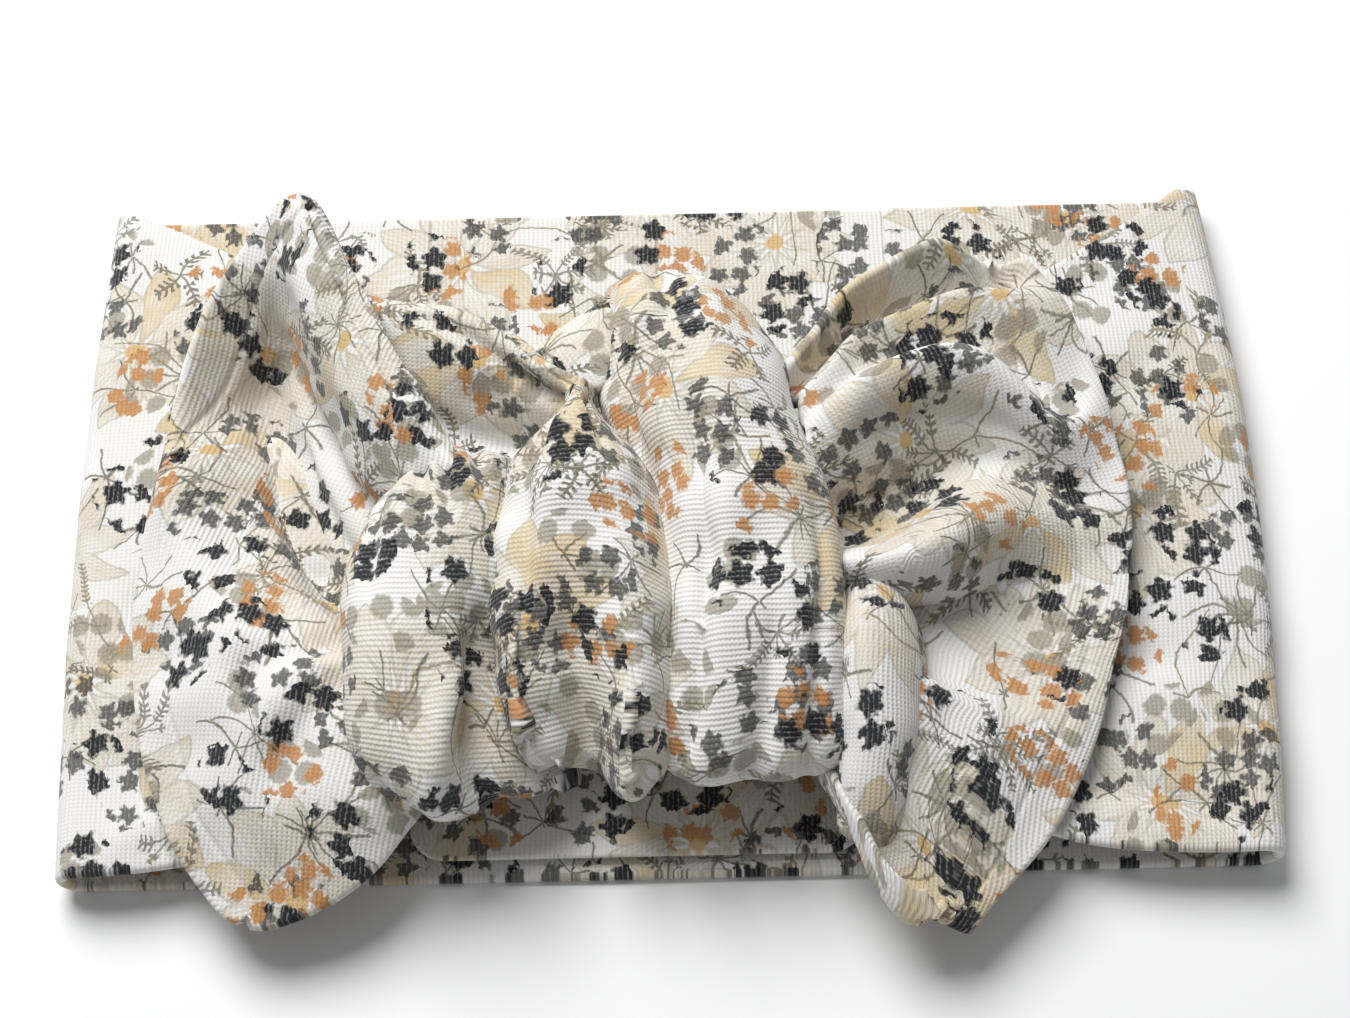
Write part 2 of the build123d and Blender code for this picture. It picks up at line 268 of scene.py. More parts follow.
def crease(sheet, start, end, width, depth, bend=0.0):
    """Press a groove from start to end, as (along, across) parts of the sheet from 0 to 1.

    width is in the same parts, depth in millimetres, and bend bows the line to one side.
    """
    rows, columns = sheet.shape[:2]
    a, b = np.meshgrid(np.linspace(0, 1, rows), np.linspace(0, 1, columns), indexing="ij")
    line = np.array(end, float) - np.array(start, float)
    length = np.hypot(*line)
    t = ((a - start[0]) * line[0] + (b - start[1]) * line[1]) / length**2
    bow = bend * 4 * np.clip(t, 0, 1) * (1 - np.clip(t, 0, 1))
    off = ((a - start[0]) * line[1] - (b - start[1]) * line[0]) / length - bow
    past = np.maximum(np.maximum(-t, t - 1) * length, 0)
    groove = np.exp(-(off / width) ** 2 - (past / (CREASE_TAIL * width)) ** 2)
    ends = np.clip(np.minimum(t, 1 - t) * CREASE_FADE + CREASE_END_DEPTH, 0, 1)
    return sheet - sheet_normals(sheet) * (depth * groove * ends)[..., None]


def creased(sheet, lines):
    """Press one crease after another."""
    for line in lines:
        sheet = crease(sheet, *line)
    return sheet


def ripple(sheet, height, size, seed, where=1.0):
    """Slow unevenness: a few crossing waves about size millimetres long, as strong as where."""
    random = np.random.default_rng(seed)
    lift = np.zeros(sheet.shape[:2])
    for _ in range(WAVES):
        way = random.normal(size=3)
        way *= random.uniform(0.6, 1.5) * 2 * math.pi / (size * np.linalg.norm(way))
        lift += np.sin(sheet @ way + random.uniform(0, LAST_PHASE)) * random.uniform(0.5, 1)
    return sheet + sheet_normals(sheet) * (height * where * lift / 3)[..., None]


print("tools: crease, creased, ripple")

# %% [markdown]
# The knit and the print must not stretch with the mesh, so each point also gets a *cloth
# coordinate*: how far it lies along the strip and across it. The material reads that
# coordinate instead of an image layout. To find it, the curved sheet is laid out flat, as a
# pattern cutter would, and for that its lengths have to be known. `measured` adds them up
# along one direction, and `walked` adds them up between the nodes of a coarse net, step by
# step over the fine one, so that a deep fold counts in full.

# %% Lengths over the cloth
WALK_ROWS, WALK_COLUMNS = 97, 129


def measured(sheet, axis, zero=0.5):
    """Distance along one direction of the sheet, from a part of the way along it."""
    step = np.linalg.norm(np.diff(sheet, axis=axis), axis=2)
    run = np.insert(np.cumsum(step, axis=axis), 0, 0, axis=axis)
    line = int(round(zero * (run.shape[axis] - 1)))
    return run - np.take(run, [line], axis=axis)


def resized(grid, rows, columns):
    """A grid of vectors, interpolated evenly to another number of rows and columns."""
    from_a, from_b = np.linspace(0, 1, grid.shape[0]), np.linspace(0, 1, grid.shape[1])
    to_a, to_b = np.linspace(0, 1, rows), np.linspace(0, 1, columns)
    planes = grid.transpose(2, 0, 1)
    wide = np.stack([[np.interp(to_b, from_b, line) for line in plane] for plane in planes])
    tall = np.stack([[np.interp(to_a, from_a, line) for line in plane.T] for plane in wide])
    return tall.transpose(2, 1, 0)


def walked(fine, size, da, db):
    """How far apart the nodes of a net are, walking over the cloth instead of cutting across."""
    stride = (WALK_ROWS - 1) // (size[0] - 1)
    step_a, step_b = min(da, 1), int(np.sign(db))
    rows = size[0] - da
    first, columns = max(0, -db), size[1] - abs(db)
    far = fine[step_a:, max(0, step_b):WALK_COLUMNS + min(0, step_b)]
    near = fine[:WALK_ROWS - step_a, max(0, -step_b):WALK_COLUMNS - max(0, step_b)]
    steps = np.linalg.norm(far - near, axis=2)
    skip = max(0, -step_b)
    length = np.zeros((rows, columns))
    for walk in range(stride * max(da, abs(db))):
        a = np.arange(rows) * stride + walk * step_a
        b = (np.arange(columns) + first) * stride + walk * step_b - skip
        length += steps[a[:, None], b[None, :]]
    return length


print("lengths are walked on a net of", WALK_ROWS, "by", WALK_COLUMNS)

# %% [markdown]
# `flatten` lays the sheet out. The sheet becomes a net of springs that keep their walked
# lengths, and the net relaxes on the plane. A coarse net finds the overall shape, and finer
# ones the rest. Springs run along, across and aslant, and some span two gaps at once, so that
# the net doesn't fold over itself.

# %% Lay a sheet out flat
SPRINGS = ((1, 0), (0, 1), (1, 1), (1, -1), (2, 0), (0, 2))
NET_SIZES = ((7, 9), (13, 17), (25, 33))
RELAX_ROUNDS = 320
RELAX_STEP = 0.09


def flatten(sheet):
    """Where each point of a sheet lies when it is laid out flat: (along, across) in mm."""
    fine = resized(sheet, WALK_ROWS, WALK_COLUMNS)
    flat = np.stack([measured(sheet, 0), measured(sheet, 1)], axis=2)
    for size in NET_SIZES:
        flat = resized(flat, *size)
        pairs = []
        for da, db in SPRINGS:
            near = (slice(0, size[0] - da), slice(max(0, -db), size[1] - max(0, db)))
            far = (slice(da, size[0]), slice(max(0, db), size[1] + min(0, db)))
            pairs.append((near, far, walked(fine, size, da, db)))
        for _ in range(RELAX_ROUNDS):
            push = np.zeros_like(flat)
            for near, far, length in pairs:
                gap = flat[far] - flat[near]
                now = np.maximum(np.linalg.norm(gap, axis=2), 1e-6)
                move = gap * ((now - length) / now)[..., None]
                push[near] += move
                push[far] -= move
            flat = flat + RELAX_STEP * push
    return resized(flat, *sheet.shape[:2])


print("nets of springs:", NET_SIZES)

# %% [markdown]
# A mesh needs an underside and an edge as well as a face. The cloth here is doubled, with its
# raw edges turned in, so each free edge is a soft round rim, not a sharp cut. The rim follows
# the sheet's border. `outward` says which way the rim bulges at each border point, and
# `cloth_faces` joins the two sides and the rim into one closed skin.

# %% The rim of a sheet
RIM_STEPS = 5


def border(rows, columns):
    """The sheet's edge points, in order round it."""
    first = [(0, b) for b in range(columns)]
    high = [(a, columns - 1) for a in range(1, rows)]
    last = [(rows - 1, b) for b in range(columns - 2, -1, -1)]
    low = [(a, 0) for a in range(rows - 2, 0, -1)]
    return np.array(first + high + last + low).T


def outward(sheet, a, b, square):
    """At each border point: the way out of the sheet, and whether the edge there ends flat."""
    rows, columns = sheet.shape[:2]
    way = np.zeros((len(a), 3))
    flat_end = np.zeros(len(a), bool)
    for edge, on_edge, near, far in (
        ("start", a == 0, (0, b), (1, b)),
        ("end", a == rows - 1, (rows - 1, b), (rows - 2, b)),
        ("low", b == 0, (a, 0), (a, 1)),
        ("high", b == columns - 1, (a, columns - 1), (a, columns - 2)),
    ):
        if edge in square:
            flat_end |= on_edge
            continue
        out = sheet[near] - sheet[far]
        out = out / np.maximum(np.linalg.norm(out, axis=1, keepdims=True), 1e-9)
        way[on_edge] += out[on_edge]
    length = np.linalg.norm(way, axis=1, keepdims=True)
    return np.where(length > 0, way / np.maximum(length, 1e-9), 0), flat_end


def cloth_faces(grid, ring, flat_end):
    """The faces of both sides and of the rim, and which of them are shaded smooth."""
    corners = (grid[:-1, :-1], grid[1:, :-1], grid[1:, 1:], grid[:-1, 1:])
    quads = np.stack(corners, axis=2).reshape(-1, 4)
    faces = [quads, quads[:, ::-1] + grid.size]
    smooth = [np.ones(2 * len(quads), bool)]
    loops = [ring]
    for step in range(RIM_STEPS - 1):
        loops.append(2 * grid.size + step * len(ring) + np.arange(len(ring)))
    loops.append(ring + grid.size)
    for upper, lower in zip(loops[:-1], loops[1:]):
        faces.append(np.stack([upper, np.roll(upper, -1), np.roll(lower, -1), lower], axis=1))
        smooth.append(~(flat_end & np.roll(flat_end, -1)))
    return np.concatenate(faces), np.concatenate(smooth)


print("each rim has", RIM_STEPS, "steps")

# %% [markdown]
# `cloth_mesh` copies the sheet one cloth thickness below itself and joins the two with a
# half-round rim. Its points carry the cloth coordinate, in metres.

# %% Cloth with thickness
def cloth_mesh(name, sheet, laid_flat, thick=CLOTH, place=(0.0, 0.0), turned=False, square=()):
    """A closed cloth of a sampled sheet, with its face up and a round rim.

    laid_flat is where each point lies on the flat strip, and place puts the print on it. turned
    swaps the strip's length and width. square names the edges, of "start", "end", "low" and
    "high", that end flat because they meet another piece.
    """
    rows, columns = sheet.shape[:2]
    normal = sheet_normals(sheet)
    along, across = laid_flat[..., 0] * MM, laid_flat[..., 1] * MM
    if turned:
        along, across = across, along
    marks_face = np.stack([along + place[0], across + place[1], 0 * along], axis=2)

    a, b = border(rows, columns)
    way, flat_end = outward(sheet, a, b, square)
    middle = sheet[a, b] - normal[a, b] * thick / 2
    points = [sheet.reshape(-1, 3), (sheet - normal * thick).reshape(-1, 3)]
    marks = [marks_face.reshape(-1, 3)] * 2
    for step in range(1, RIM_STEPS):
        turn = math.pi * step / RIM_STEPS
        rise = normal[a, b] * math.cos(turn) * thick / 2
        points.append(middle + rise + way * math.sin(turn) * thick / 2)
        marks.append(marks_face[a, b])
    grid = np.arange(rows * columns).reshape(rows, columns)
    faces, smooth = cloth_faces(grid, grid[a, b], flat_end)

    mesh = bpy.data.meshes.new(name)
    mesh.from_pydata((np.concatenate(points) * MM).tolist(), [], faces.tolist())
    mesh.polygons.foreach_set("use_smooth", smooth.tolist())
    mark = mesh.attributes.new("cloth", "FLOAT_VECTOR", "POINT")
    mark.data.foreach_set("vector", np.concatenate(marks).ravel())
    mesh.update()
    piece = bpy.data.objects.new(name, mesh)
    scene.collection.objects.link(piece)
    size = f"{np.ptp(along) / MM:.0f} by {np.ptp(across) / MM:.0f} mm"
    print(f"{name}: {len(faces)} faces, {size} of strip")
    return piece


print("tool: cloth_mesh")

# %% [markdown]
# Every piece is kept by its name, and the size it would be cut to is printed. `lay` flattens a
# sheet, unless it has been told how the sheet lies flat, and makes the piece.

# %% Keep the pieces
pieces = {}


def lay(name, sheet, laid_flat=None, **options):
    """Make a piece of cloth and keep it by name; its cut size is printed."""
    laid_flat = flatten(sheet) if laid_flat is None else laid_flat
    pieces[name] = cloth_mesh(name, sheet, laid_flat, **options)


print("tool: lay")

# %% [markdown]
# ## The band
#
# The band is a flattened tube of rib knit: one strip of doubled cloth that goes right round.
# Seen from its end it is a long flat loop with a round turn at each side. The ring has to
# open, so the strip is made in parts. The parts meet where the cloth is stiff in every pose.
#
# The strip is followed in one direction all the way round: out along the front on the right,
# round the right turn, back along the rear, round the left turn, and in along the front on the
# left. Followed that way its outside always faces out, and the print runs on from part to part.

# %% The strip's path
PART_X = 40.0
SAMPLES_HIGH = 150
STEP = 0.8
TURN_LENGTH = 2 * (FOLD_X - PART_X) + math.pi * OUTER_R


def turn_path(side):
    """Points (x, z) of the strip's outside round one side, from part line to part line."""
    straight = FOLD_X - PART_X
    at = np.linspace(0, TURN_LENGTH, int(TURN_LENGTH / STEP) + 2)
    bent = np.clip((at - straight) / OUTER_R, 0, math.pi)
    out = np.minimum(at, straight) + OUTER_R * np.sin(bent)
    out = out - np.maximum(at - straight - math.pi * OUTER_R, 0)
    rise = OUTER_R * (1 - np.cos(bent))
    return side * (PART_X + out), rise if side < 0 else FRONT_Z - rise


print(f"each turn takes {TURN_LENGTH:.0f} mm of the strip")

# %% [markdown]
# The front run is drawn in towards the knot, so its top and bottom edges fall away from the
# sides. How far each edge drops, and how suddenly, differs at the four corners: the cloth was
# pulled by hand. The sides bow out a little half way up.

# %% How the front run is gathered
EDGE_DROP = {"left": ((25.0, 1.0), (16.0, 2.0)), "right": ((31.0, 0.9), (14.0, 3.0))}
CORNER_DROP = {"left": 2.4, "right": 1.6}
SIDE_BOW = {"left": 2.0, "right": 3.4}
SWELL = 1.2


def front_sheet(side_name, x, z):
    """The sheet over a path (x, z), as high as the band is there, gathered on the front run."""
    front = np.clip((z - FOLD_Z) / OUTER_R, 0, 1)
    inward = np.clip((FOLD_X - np.abs(x)) / (FOLD_X - PART_X), 0, 2) * (front > 0.5)
    (top_drop, top_power), (low_drop, low_power) = EDGE_DROP[side_name]
    upper = BAND_TOP - CORNER_DROP[side_name] * front - top_drop * inward**top_power
    lower = -BAND_TOP + low_drop * inward**low_power
    across = np.linspace(0, 1, SAMPLES_HIGH)
    y = lower[:, None] + (upper - lower)[:, None] * across
    swell = SWELL * np.sin(math.pi * across) * np.minimum(inward, 1)[:, None]
    outward = np.clip((np.abs(x) - PART_X) / (FOLD_X - PART_X), 0, 1) * np.sign(x)
    bow = SIDE_BOW[side_name] * np.sin(math.pi * across)
    wide = x[:, None] + outward[:, None] ** 3 * bow
    return np.stack([wide, y, z[:, None] + swell], axis=2), front[:, None] * np.ones(SAMPLES_HIGH)


print("front edges drop, left and right:", EDGE_DROP)

# %% [markdown]
# Each turn piece runs from the part line on one run, round the side, to the part line on the
# other. Seen in section it is a hairpin. The front leg carries the pleats that run out from
# the knot; they are pressed in as creases that fade towards the fold.

# %% Turned sides
right_turn, right_front = front_sheet("right", *turn_path(1))
right_turn = creased(right_turn, (
    ((0.02, 0.62), (0.36, 0.76), 0.035, 1.2),
    ((0.22, 0.74), (0.38, 0.50), 0.045, 1.2, 0.02),
    ((0.08, 0.48), (0.34, 0.56), 0.030, -2.2),
    ((0.02, 0.36), (0.36, 0.27), 0.035, 1.4),
    ((0.05, 0.14), (0.40, 0.05), 0.030, 1.2),
))
right_turn = ripple(right_turn, height=0.45, size=26, seed=3, where=right_front)

left_turn, left_front = front_sheet("left", *turn_path(-1))
left_turn = creased(left_turn, (
    ((0.98, 0.62), (0.64, 0.80), 0.030, 1.2),
    ((0.98, 0.45), (0.62, 0.38), 0.035, 1.3),
    ((0.98, 0.28), (0.64, 0.13), 0.030, 1.3),
    ((0.95, 0.18), (0.60, 0.03), 0.030, -1.2),
))
left_turn = ripple(left_turn, height=0.45, size=26, seed=5, where=left_front)
print("turns sampled", right_turn.shape, left_turn.shape)

# %% [markdown]
# The rear run is flat on the table. The gathered ends of the front run dive under the knot.
# `strip_at` remembers how much strip has been laid, so each part's print starts where the last
# one's stopped.

# %% Lay the ring
def straight_run(start_x, end_x, z):
    """A flat path (x, z) between two places."""
    x = np.linspace(start_x, end_x, int(abs(end_x - start_x) / STEP) + 2)
    return x, np.full_like(x, z)


GATHER_END = {"left": -12.0, "right": 23.0}
right_gather = front_sheet("right", *straight_run(GATHER_END["right"], PART_X, FRONT_Z))[0]
rear_right = front_sheet("right", *straight_run(PART_X, 0, 0.0))[0]
rear_left = front_sheet("left", *straight_run(0, -PART_X, 0.0))[0]
left_gather = front_sheet("left", *straight_run(-PART_X, GATHER_END["left"], FRONT_Z))[0]

strip_at = 0.0
for name, sheet in (
    ("band_front_right", right_gather),
    ("band_right_turn", right_turn),
    ("band_rear_right", rear_right),
    ("band_rear_left", rear_left),
    ("band_left_turn", left_turn),
    ("band_front_left", left_gather),
):
    middle = measured(sheet, 0, 0.0)[:, SAMPLES_HIGH // 2]
    along = (strip_at + middle)[:, None] * np.ones(SAMPLES_HIGH)
    lay(name, sheet, np.stack([along, sheet[..., 1]], axis=2), square=("start", "end"))
    strip_at += middle[-1]
print(f"strip laid: {strip_at:.0f} mm")

# %% [markdown]
# ## The knot
#
# The knot's face is three puffs: folds of the strip that come up from under the top of the
# band, go over the front and tuck in below. Their ribs run across them, so on these pieces the
# strip's length runs up the sheet. Each puff is a list of stations from left to right, and each
# station is a list of points (x, y, z) from the lower tuck over the crown to the upper tuck.
# The points make each puff lean and sag in its own way.

# %% Left puff
LEFT_PUFF = [
    [(-42, -44, 13), (-43, -50, 14), (-44.5, -51, 17), (-47.5, -45, 20), (-49.5, -34, 21),
     (-49.5, -22, 21.5), (-47, -10, 22), (-43, -2, 21.5), (-40, 2, 18), (-40, 1, 15)],
    [(-41, -45, 12), (-42, -52, 14), (-43, -53, 18.5), (-46.5, -47, 24.5), (-48.5, -36, 27),
     (-48.5, -23, 28), (-45.5, -10, 28), (-41, -1.5, 26), (-39, 3, 20), (-39, 2, 15)],
    [(-37, -45, 11.5), (-37, -54.5, 13.5), (-37.5, -56, 20), (-40, -50, 27), (-42, -38, 31),
     (-42, -24, 32), (-39.5, -10, 31.5), (-36.5, 0, 28.5), (-35.5, 5, 22), (-35.5, 4, 15)],
    [(-30, -44, 12), (-30, -54, 14), (-30.5, -56, 20), (-32.5, -50, 27), (-34, -38, 30.5),
     (-34, -24, 32), (-32.5, -9, 31.5), (-31, 1, 28.5), (-30, 5, 22), (-30, 4, 15)],
    [(-24, -43, 12), (-23, -52, 14), (-23.5, -54, 19), (-26, -47, 24), (-28, -36, 27.5),
     (-28, -23, 29), (-27, -9, 29), (-25.5, 0, 26.5), (-25, 4, 21), (-25, 3, 14)],
    [(-18, -42, 9), (-17, -48, 10.5), (-18, -49, 13), (-21, -42, 16), (-24.5, -33, 20.5),
     (-24.5, -22, 25), (-23.5, -9, 25.5), (-22.5, -1, 23), (-22, 3, 18), (-22, 3, 12)],
    [(-13, -41, 8), (-12, -45, 8.5), (-13, -46, 10), (-17, -39, 12), (-20.5, -31, 15),
     (-20.5, -22, 18), (-20, -9, 18), (-19.5, -1, 16), (-19.5, 2, 14), (-19.5, 2, 11)],
]
left_puff = spline_sheet(LEFT_PUFF, along=60, across=130)
left_puff = creased(left_puff, (
    ((0.58, 0.14), (0.76, 0.50), 0.085, 3.8, -0.05),
    ((0.36, 0.18), (0.62, 0.46), 0.05, -2.0, -0.03),
    ((0.14, 0.96), (0.42, 0.62), 0.028, 1.5),
    ((0.26, 0.98), (0.52, 0.66), 0.028, 1.5),
    ((0.40, 1.00), (0.66, 0.72), 0.028, 1.4),
    ((0.06, 0.88), (0.26, 0.55), 0.028, 1.2),
    ((0.08, 0.30), (0.34, 0.12), 0.040, 1.6),
))
left_puff = ripple(left_puff, height=0.6, size=14, seed=11)
lay("knot_left_puff_cloth", left_puff, turned=True, place=(0.11, 0.02))

# %% [markdown]
# The middle puff is the narrowest at its top, where both its neighbours press on it, and its
# lower half is split by a deep pleat. The pleat is a station of its own, far lower than the two
# beside it, because a groove as deep as that is a fold of the cloth and not a mark on it.

# %% Middle puff
MIDDLE_PUFF = [
    [(-25, -29, 12), (-27, -32, 14), (-29, -29, 16.5), (-30, -22, 18), (-29.5, -14, 19),
     (-27, -4, 19), (-21, 4, 18.5), (-16, 8, 17), (-14.5, 9, 15)],
    [(-20.5, -42, 13), (-22, -46.5, 18), (-24, -43.5, 22.5), (-26.5, -31, 25.5), (-27, -17, 26),
     (-24.5, -4, 27), (-19, 5, 27.5), (-15, 10, 24), (-14, 11, 18)],
    [(-16, -44, 13), (-17, -50, 18), (-18.5, -47.5, 25), (-20, -36, 30.5), (-20.5, -20, 33),
     (-19, -3, 33.5), (-15.8, 7, 32), (-13.8, 12, 27), (-13.5, 13, 19)],
    [(-11.5, -44, 11), (-11.0, -47, 12), (-11.2, -45, 15), (-12.4, -37, 20), (-14.5, -20, 31.5),
     (-13, -1, 34.5), (-13, 8, 33), (-12.8, 13, 27), (-12.8, 14, 19)],
    [(-6, -47, 12), (-6, -54.5, 17), (-6.5, -52, 25.5), (-7, -38, 31), (-6.5, -20, 33),
     (-7.5, -3, 33.5), (-10.5, 7, 31.5), (-11.8, 12, 26), (-12, 13, 18)],
    [(-1.5, -46, 12), (-0.5, -50.5, 16), (0, -48, 21.5), (0.5, -36, 26), (0.5, -20, 27.5),
     (-1.5, -5, 28), (-7, 5, 27), (-10, 10, 24), (-10.8, 11, 17)],
    [(1.5, -44, 11), (2.5, -47, 13), (3.5, -44, 16), (4, -34, 18), (4, -20, 19),
     (2, -6, 19), (-4, 3, 19), (-8, 8, 17.5), (-9.5, 9, 14)],
]
middle_puff = spline_sheet(MIDDLE_PUFF, along=70, across=130)
middle_puff = creased(middle_puff, (
    ((0.30, 0.10), (0.26, 0.60), 0.05, 1.8, 0.03),
    ((0.40, 0.96), (0.24, 0.60), 0.035, 1.5, 0.02),
    ((0.62, 0.96), (0.66, 0.62), 0.035, 1.5),
    ((0.78, 0.16), (0.70, 0.42), 0.045, 1.6),
))
middle_puff = ripple(middle_puff, height=0.55, size=13, seed=12)
lay("knot_middle_puff_cloth", middle_puff, turned=True, place=(0.19, -0.03))

# %% [markdown]
# The right puff is the broadest. It climbs highest, over the band's upper half, and its ribs
# lean because the strip is twisted as it goes over.

# %% Right puff
RIGHT_PUFF = [
    [(-4, -44, 11), (-4, -46, 14), (-4, -43, 16.5), (-3, -33, 18), (-3, -18, 19),
     (-5, -2, 19.5), (-9, 10, 19), (-9.5, 22, 18), (-8, 31, 17), (-7, 33, 14)],
    [(-1, -45, 12), (-0.5, -50, 16), (0, -46.5, 22), (1, -34, 26), (1.5, -18, 27.5),
     (-1, -2, 28), (-6.5, 10, 28), (-8.5, 22, 27), (-7.5, 32, 24), (-6.5, 35, 18)],
    [(4, -45, 12), (4, -52, 16), (4.5, -49, 25), (5.5, -35, 30.5), (6, -18, 32.5),
     (4.5, 0, 33.5), (1, 14, 33), (-1.5, 26, 31), (-1.5, 35, 27), (-1, 39, 19)],
    [(12, -45, 12), (12, -52, 16), (12.5, -49, 25), (13, -35, 31), (13.5, -18, 33),
     (12.5, -1, 34), (9.5, 13, 33.5), (7, 24, 31.5), (6.5, 34, 27), (7, 37, 19)],
    [(19.5, -45, 12), (19.5, -51.5, 16), (20, -48.5, 24.5), (20.5, -35, 30), (21, -19, 31.5),
     (19.5, -3, 31.5), (16.5, 9, 31), (14.5, 19, 29), (14.5, 27, 25), (15, 29.5, 18)],
    [(24.5, -44, 12), (25, -50, 15.5), (25.7, -47, 22), (26.3, -35, 26.5), (26.8, -20, 27.5),
     (25.3, -6, 27.5), (22.3, 5, 27), (20.3, 13, 25.5), (19.8, 20, 22), (20, 22, 17)],
    [(25, -42, 11), (25.5, -47.5, 14), (26.7, -44.5, 17), (27.6, -34, 19.5), (28, -20, 20),
     (26.3, -7, 20), (23.8, 3, 20), (21.7, 10.5, 19.5), (21, 16.5, 18), (21, 18, 14)],
]
right_puff = spline_sheet(RIGHT_PUFF, along=80, across=160)
right_puff = creased(right_puff, (
    ((0.10, 0.74), (0.62, 0.97), 0.045, 2.2, -0.04),
    ((0.20, 0.14), (0.34, 0.62), 0.055, 2.4, 0.03),
    ((0.50, 0.12), (0.60, 0.36), 0.045, 1.8),
    ((0.05, 0.56), (0.52, 0.82), 0.045, 2.0, -0.05),
    ((0.30, 0.99), (0.40, 0.80), 0.030, 1.5),
    ((0.72, 0.10), (0.80, 0.50), 0.035, 1.2),
))
right_puff = ripple(right_puff, height=0.6, size=15, seed=13)
lay("knot_right_puff_cloth", right_puff, turned=True, place=(0.27, 0.04))

# %% [markdown]
# Two smaller folds of the strip show above the puffs: a flap that comes out between the left
# and middle puffs and runs up under the left wing's ridge, and a small lobe behind it.

# %% Upper folds
UPPER_FLAP = [
    [(-38, 0, 16), (-42, 8, 17), (-46, 18, 20), (-50, 28, 24), (-53, 35, 26), (-54, 37, 18)],
    [(-33, -2, 18), (-36, 5, 18), (-39, 13, 21), (-42, 21, 25), (-43.5, 28.5, 27), (-44, 31, 18)],
    [(-27, -4, 19), (-29, 3, 18), (-31, 10, 20), (-32, 18, 26), (-32, 26.5, 28), (-32, 29, 18)],
    [(-20, -2, 21), (-21, 4, 19), (-21.5, 9, 17.5), (-22, 14, 25), (-21.5, 20, 28),
     (-21.5, 22, 20)],
    [(-14, -2, 24), (-14, 2, 26), (-13, 6, 26), (-13, 9, 28), (-13, 12, 29), (-13, 13.5, 24)],
]
upper_flap = spline_sheet(UPPER_FLAP, along=70, across=70)
upper_flap = creased(upper_flap, (
    ((0.30, 0.80), (0.98, 0.56), 0.045, 1.8),
    ((0.20, 0.35), (0.85, 0.30), 0.065, 2.2),
    ((0.55, 0.95), (0.98, 0.74), 0.035, 1.4),
))
upper_flap = ripple(upper_flap, height=0.5, size=12, seed=21)
lay("knot_upper_flap", upper_flap, place=(0.352, 0.083))

SMALL_LOBE = [
    [(-14, 11, 20), (-19, 17, 22), (-23, 21.5, 20), (-24, 22.5, 14)],
    [(-10, 14, 24), (-13, 21, 25.5), (-16, 27, 22), (-16, 28, 14)],
    [(-7, 17, 24), (-8, 25, 25.5), (-9, 31, 23), (-9, 32, 14)],
    [(-4, 20, 22), (-4, 28, 23), (-4, 34, 21), (-4, 35, 14)],
]
small_lobe = spline_sheet(SMALL_LOBE, along=36, across=44)
small_lobe = ripple(small_lobe, height=0.25, size=12, seed=22)
lay("knot_small_lobe", small_lobe, place=(0.436, 0.052))

# %% [markdown]
# Behind the front run the strip goes back under it. The part that shows is a flat fold with
# round lower corners, lying on the rear run under the knot. It is a little shorter and lower
# than the solid it replaces, so that the front run clears it when the ring opens.

# %% Fold under the knot
UNDER_THICK = 1.0
UNDER_SHORT = 6.0
UNDER_TOP = -42.5
fold_low, fold_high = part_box("knot_under_fold")
under_x = np.linspace(fold_low.x / MM, fold_high.x / MM - UNDER_SHORT, 5)
under_y = np.linspace(fold_low.y / MM, UNDER_TOP, 4)
UNDER_FOLD = [[(x, y, fold_low.z / MM + UNDER_THICK) for y in under_y] for x in under_x]
under_fold = spline_sheet(UNDER_FOLD, along=96, across=36)
for end in (0, 1):
    under_fold = round_corner(under_fold, end, 0, radius=5)
under_fold = ripple(under_fold, height=0.1, size=18, seed=31)
lay("knot_under_fold_cloth", under_fold, thick=UNDER_THICK, place=(0.47, -0.02))

# %% [markdown]
# The rest of the strip is a trough of cloth round the gathered front run, which holds the knot
# together. Seen from its end it is a wide U, and only its back shows, inside the ring.

# %% Back loop
loop_low, loop_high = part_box("knot_back_loop")
LOOP_OUT_Z = loop_low.z / MM
LOOP_BOTTOM = loop_low.y / MM
LOOP_RIM_Z = 16.0
LOOP_TOPS = (18, 25, 24, 11, 5)
loop_x = np.linspace(loop_high.x / MM, loop_low.x / MM, len(LOOP_TOPS))
BACK_LOOP = [
    [(x, LOOP_BOTTOM - 6, LOOP_RIM_Z), (x, LOOP_BOTTOM - 8, 10), (x, LOOP_BOTTOM, LOOP_OUT_Z),
     (x, -20, LOOP_OUT_Z), (x, -8, LOOP_OUT_Z), (x, top - 9, LOOP_OUT_Z), (x, top, LOOP_OUT_Z),
     (x, top + 1, 11), (x, top - 5, LOOP_RIM_Z)]
    for x, top in zip(loop_x, LOOP_TOPS)
]
back_loop = spline_sheet(BACK_LOOP, along=50, across=120)
lay("knot_back_loop_cloth", back_loop, turned=True, place=(0.52, 0.03))

# %% [markdown]
# ## The wings
#
# Each wing is a tail of the doubled strip: gathered where it leaves the knot and fanning out to
# a straight, closed end. The stations of the left wing run from its outer end in to the knot,
# and each goes from the lower corner up over the hollow to the ridge and just behind it. The
# strip's length is measured from the outer end, so that the ribs run beside it.

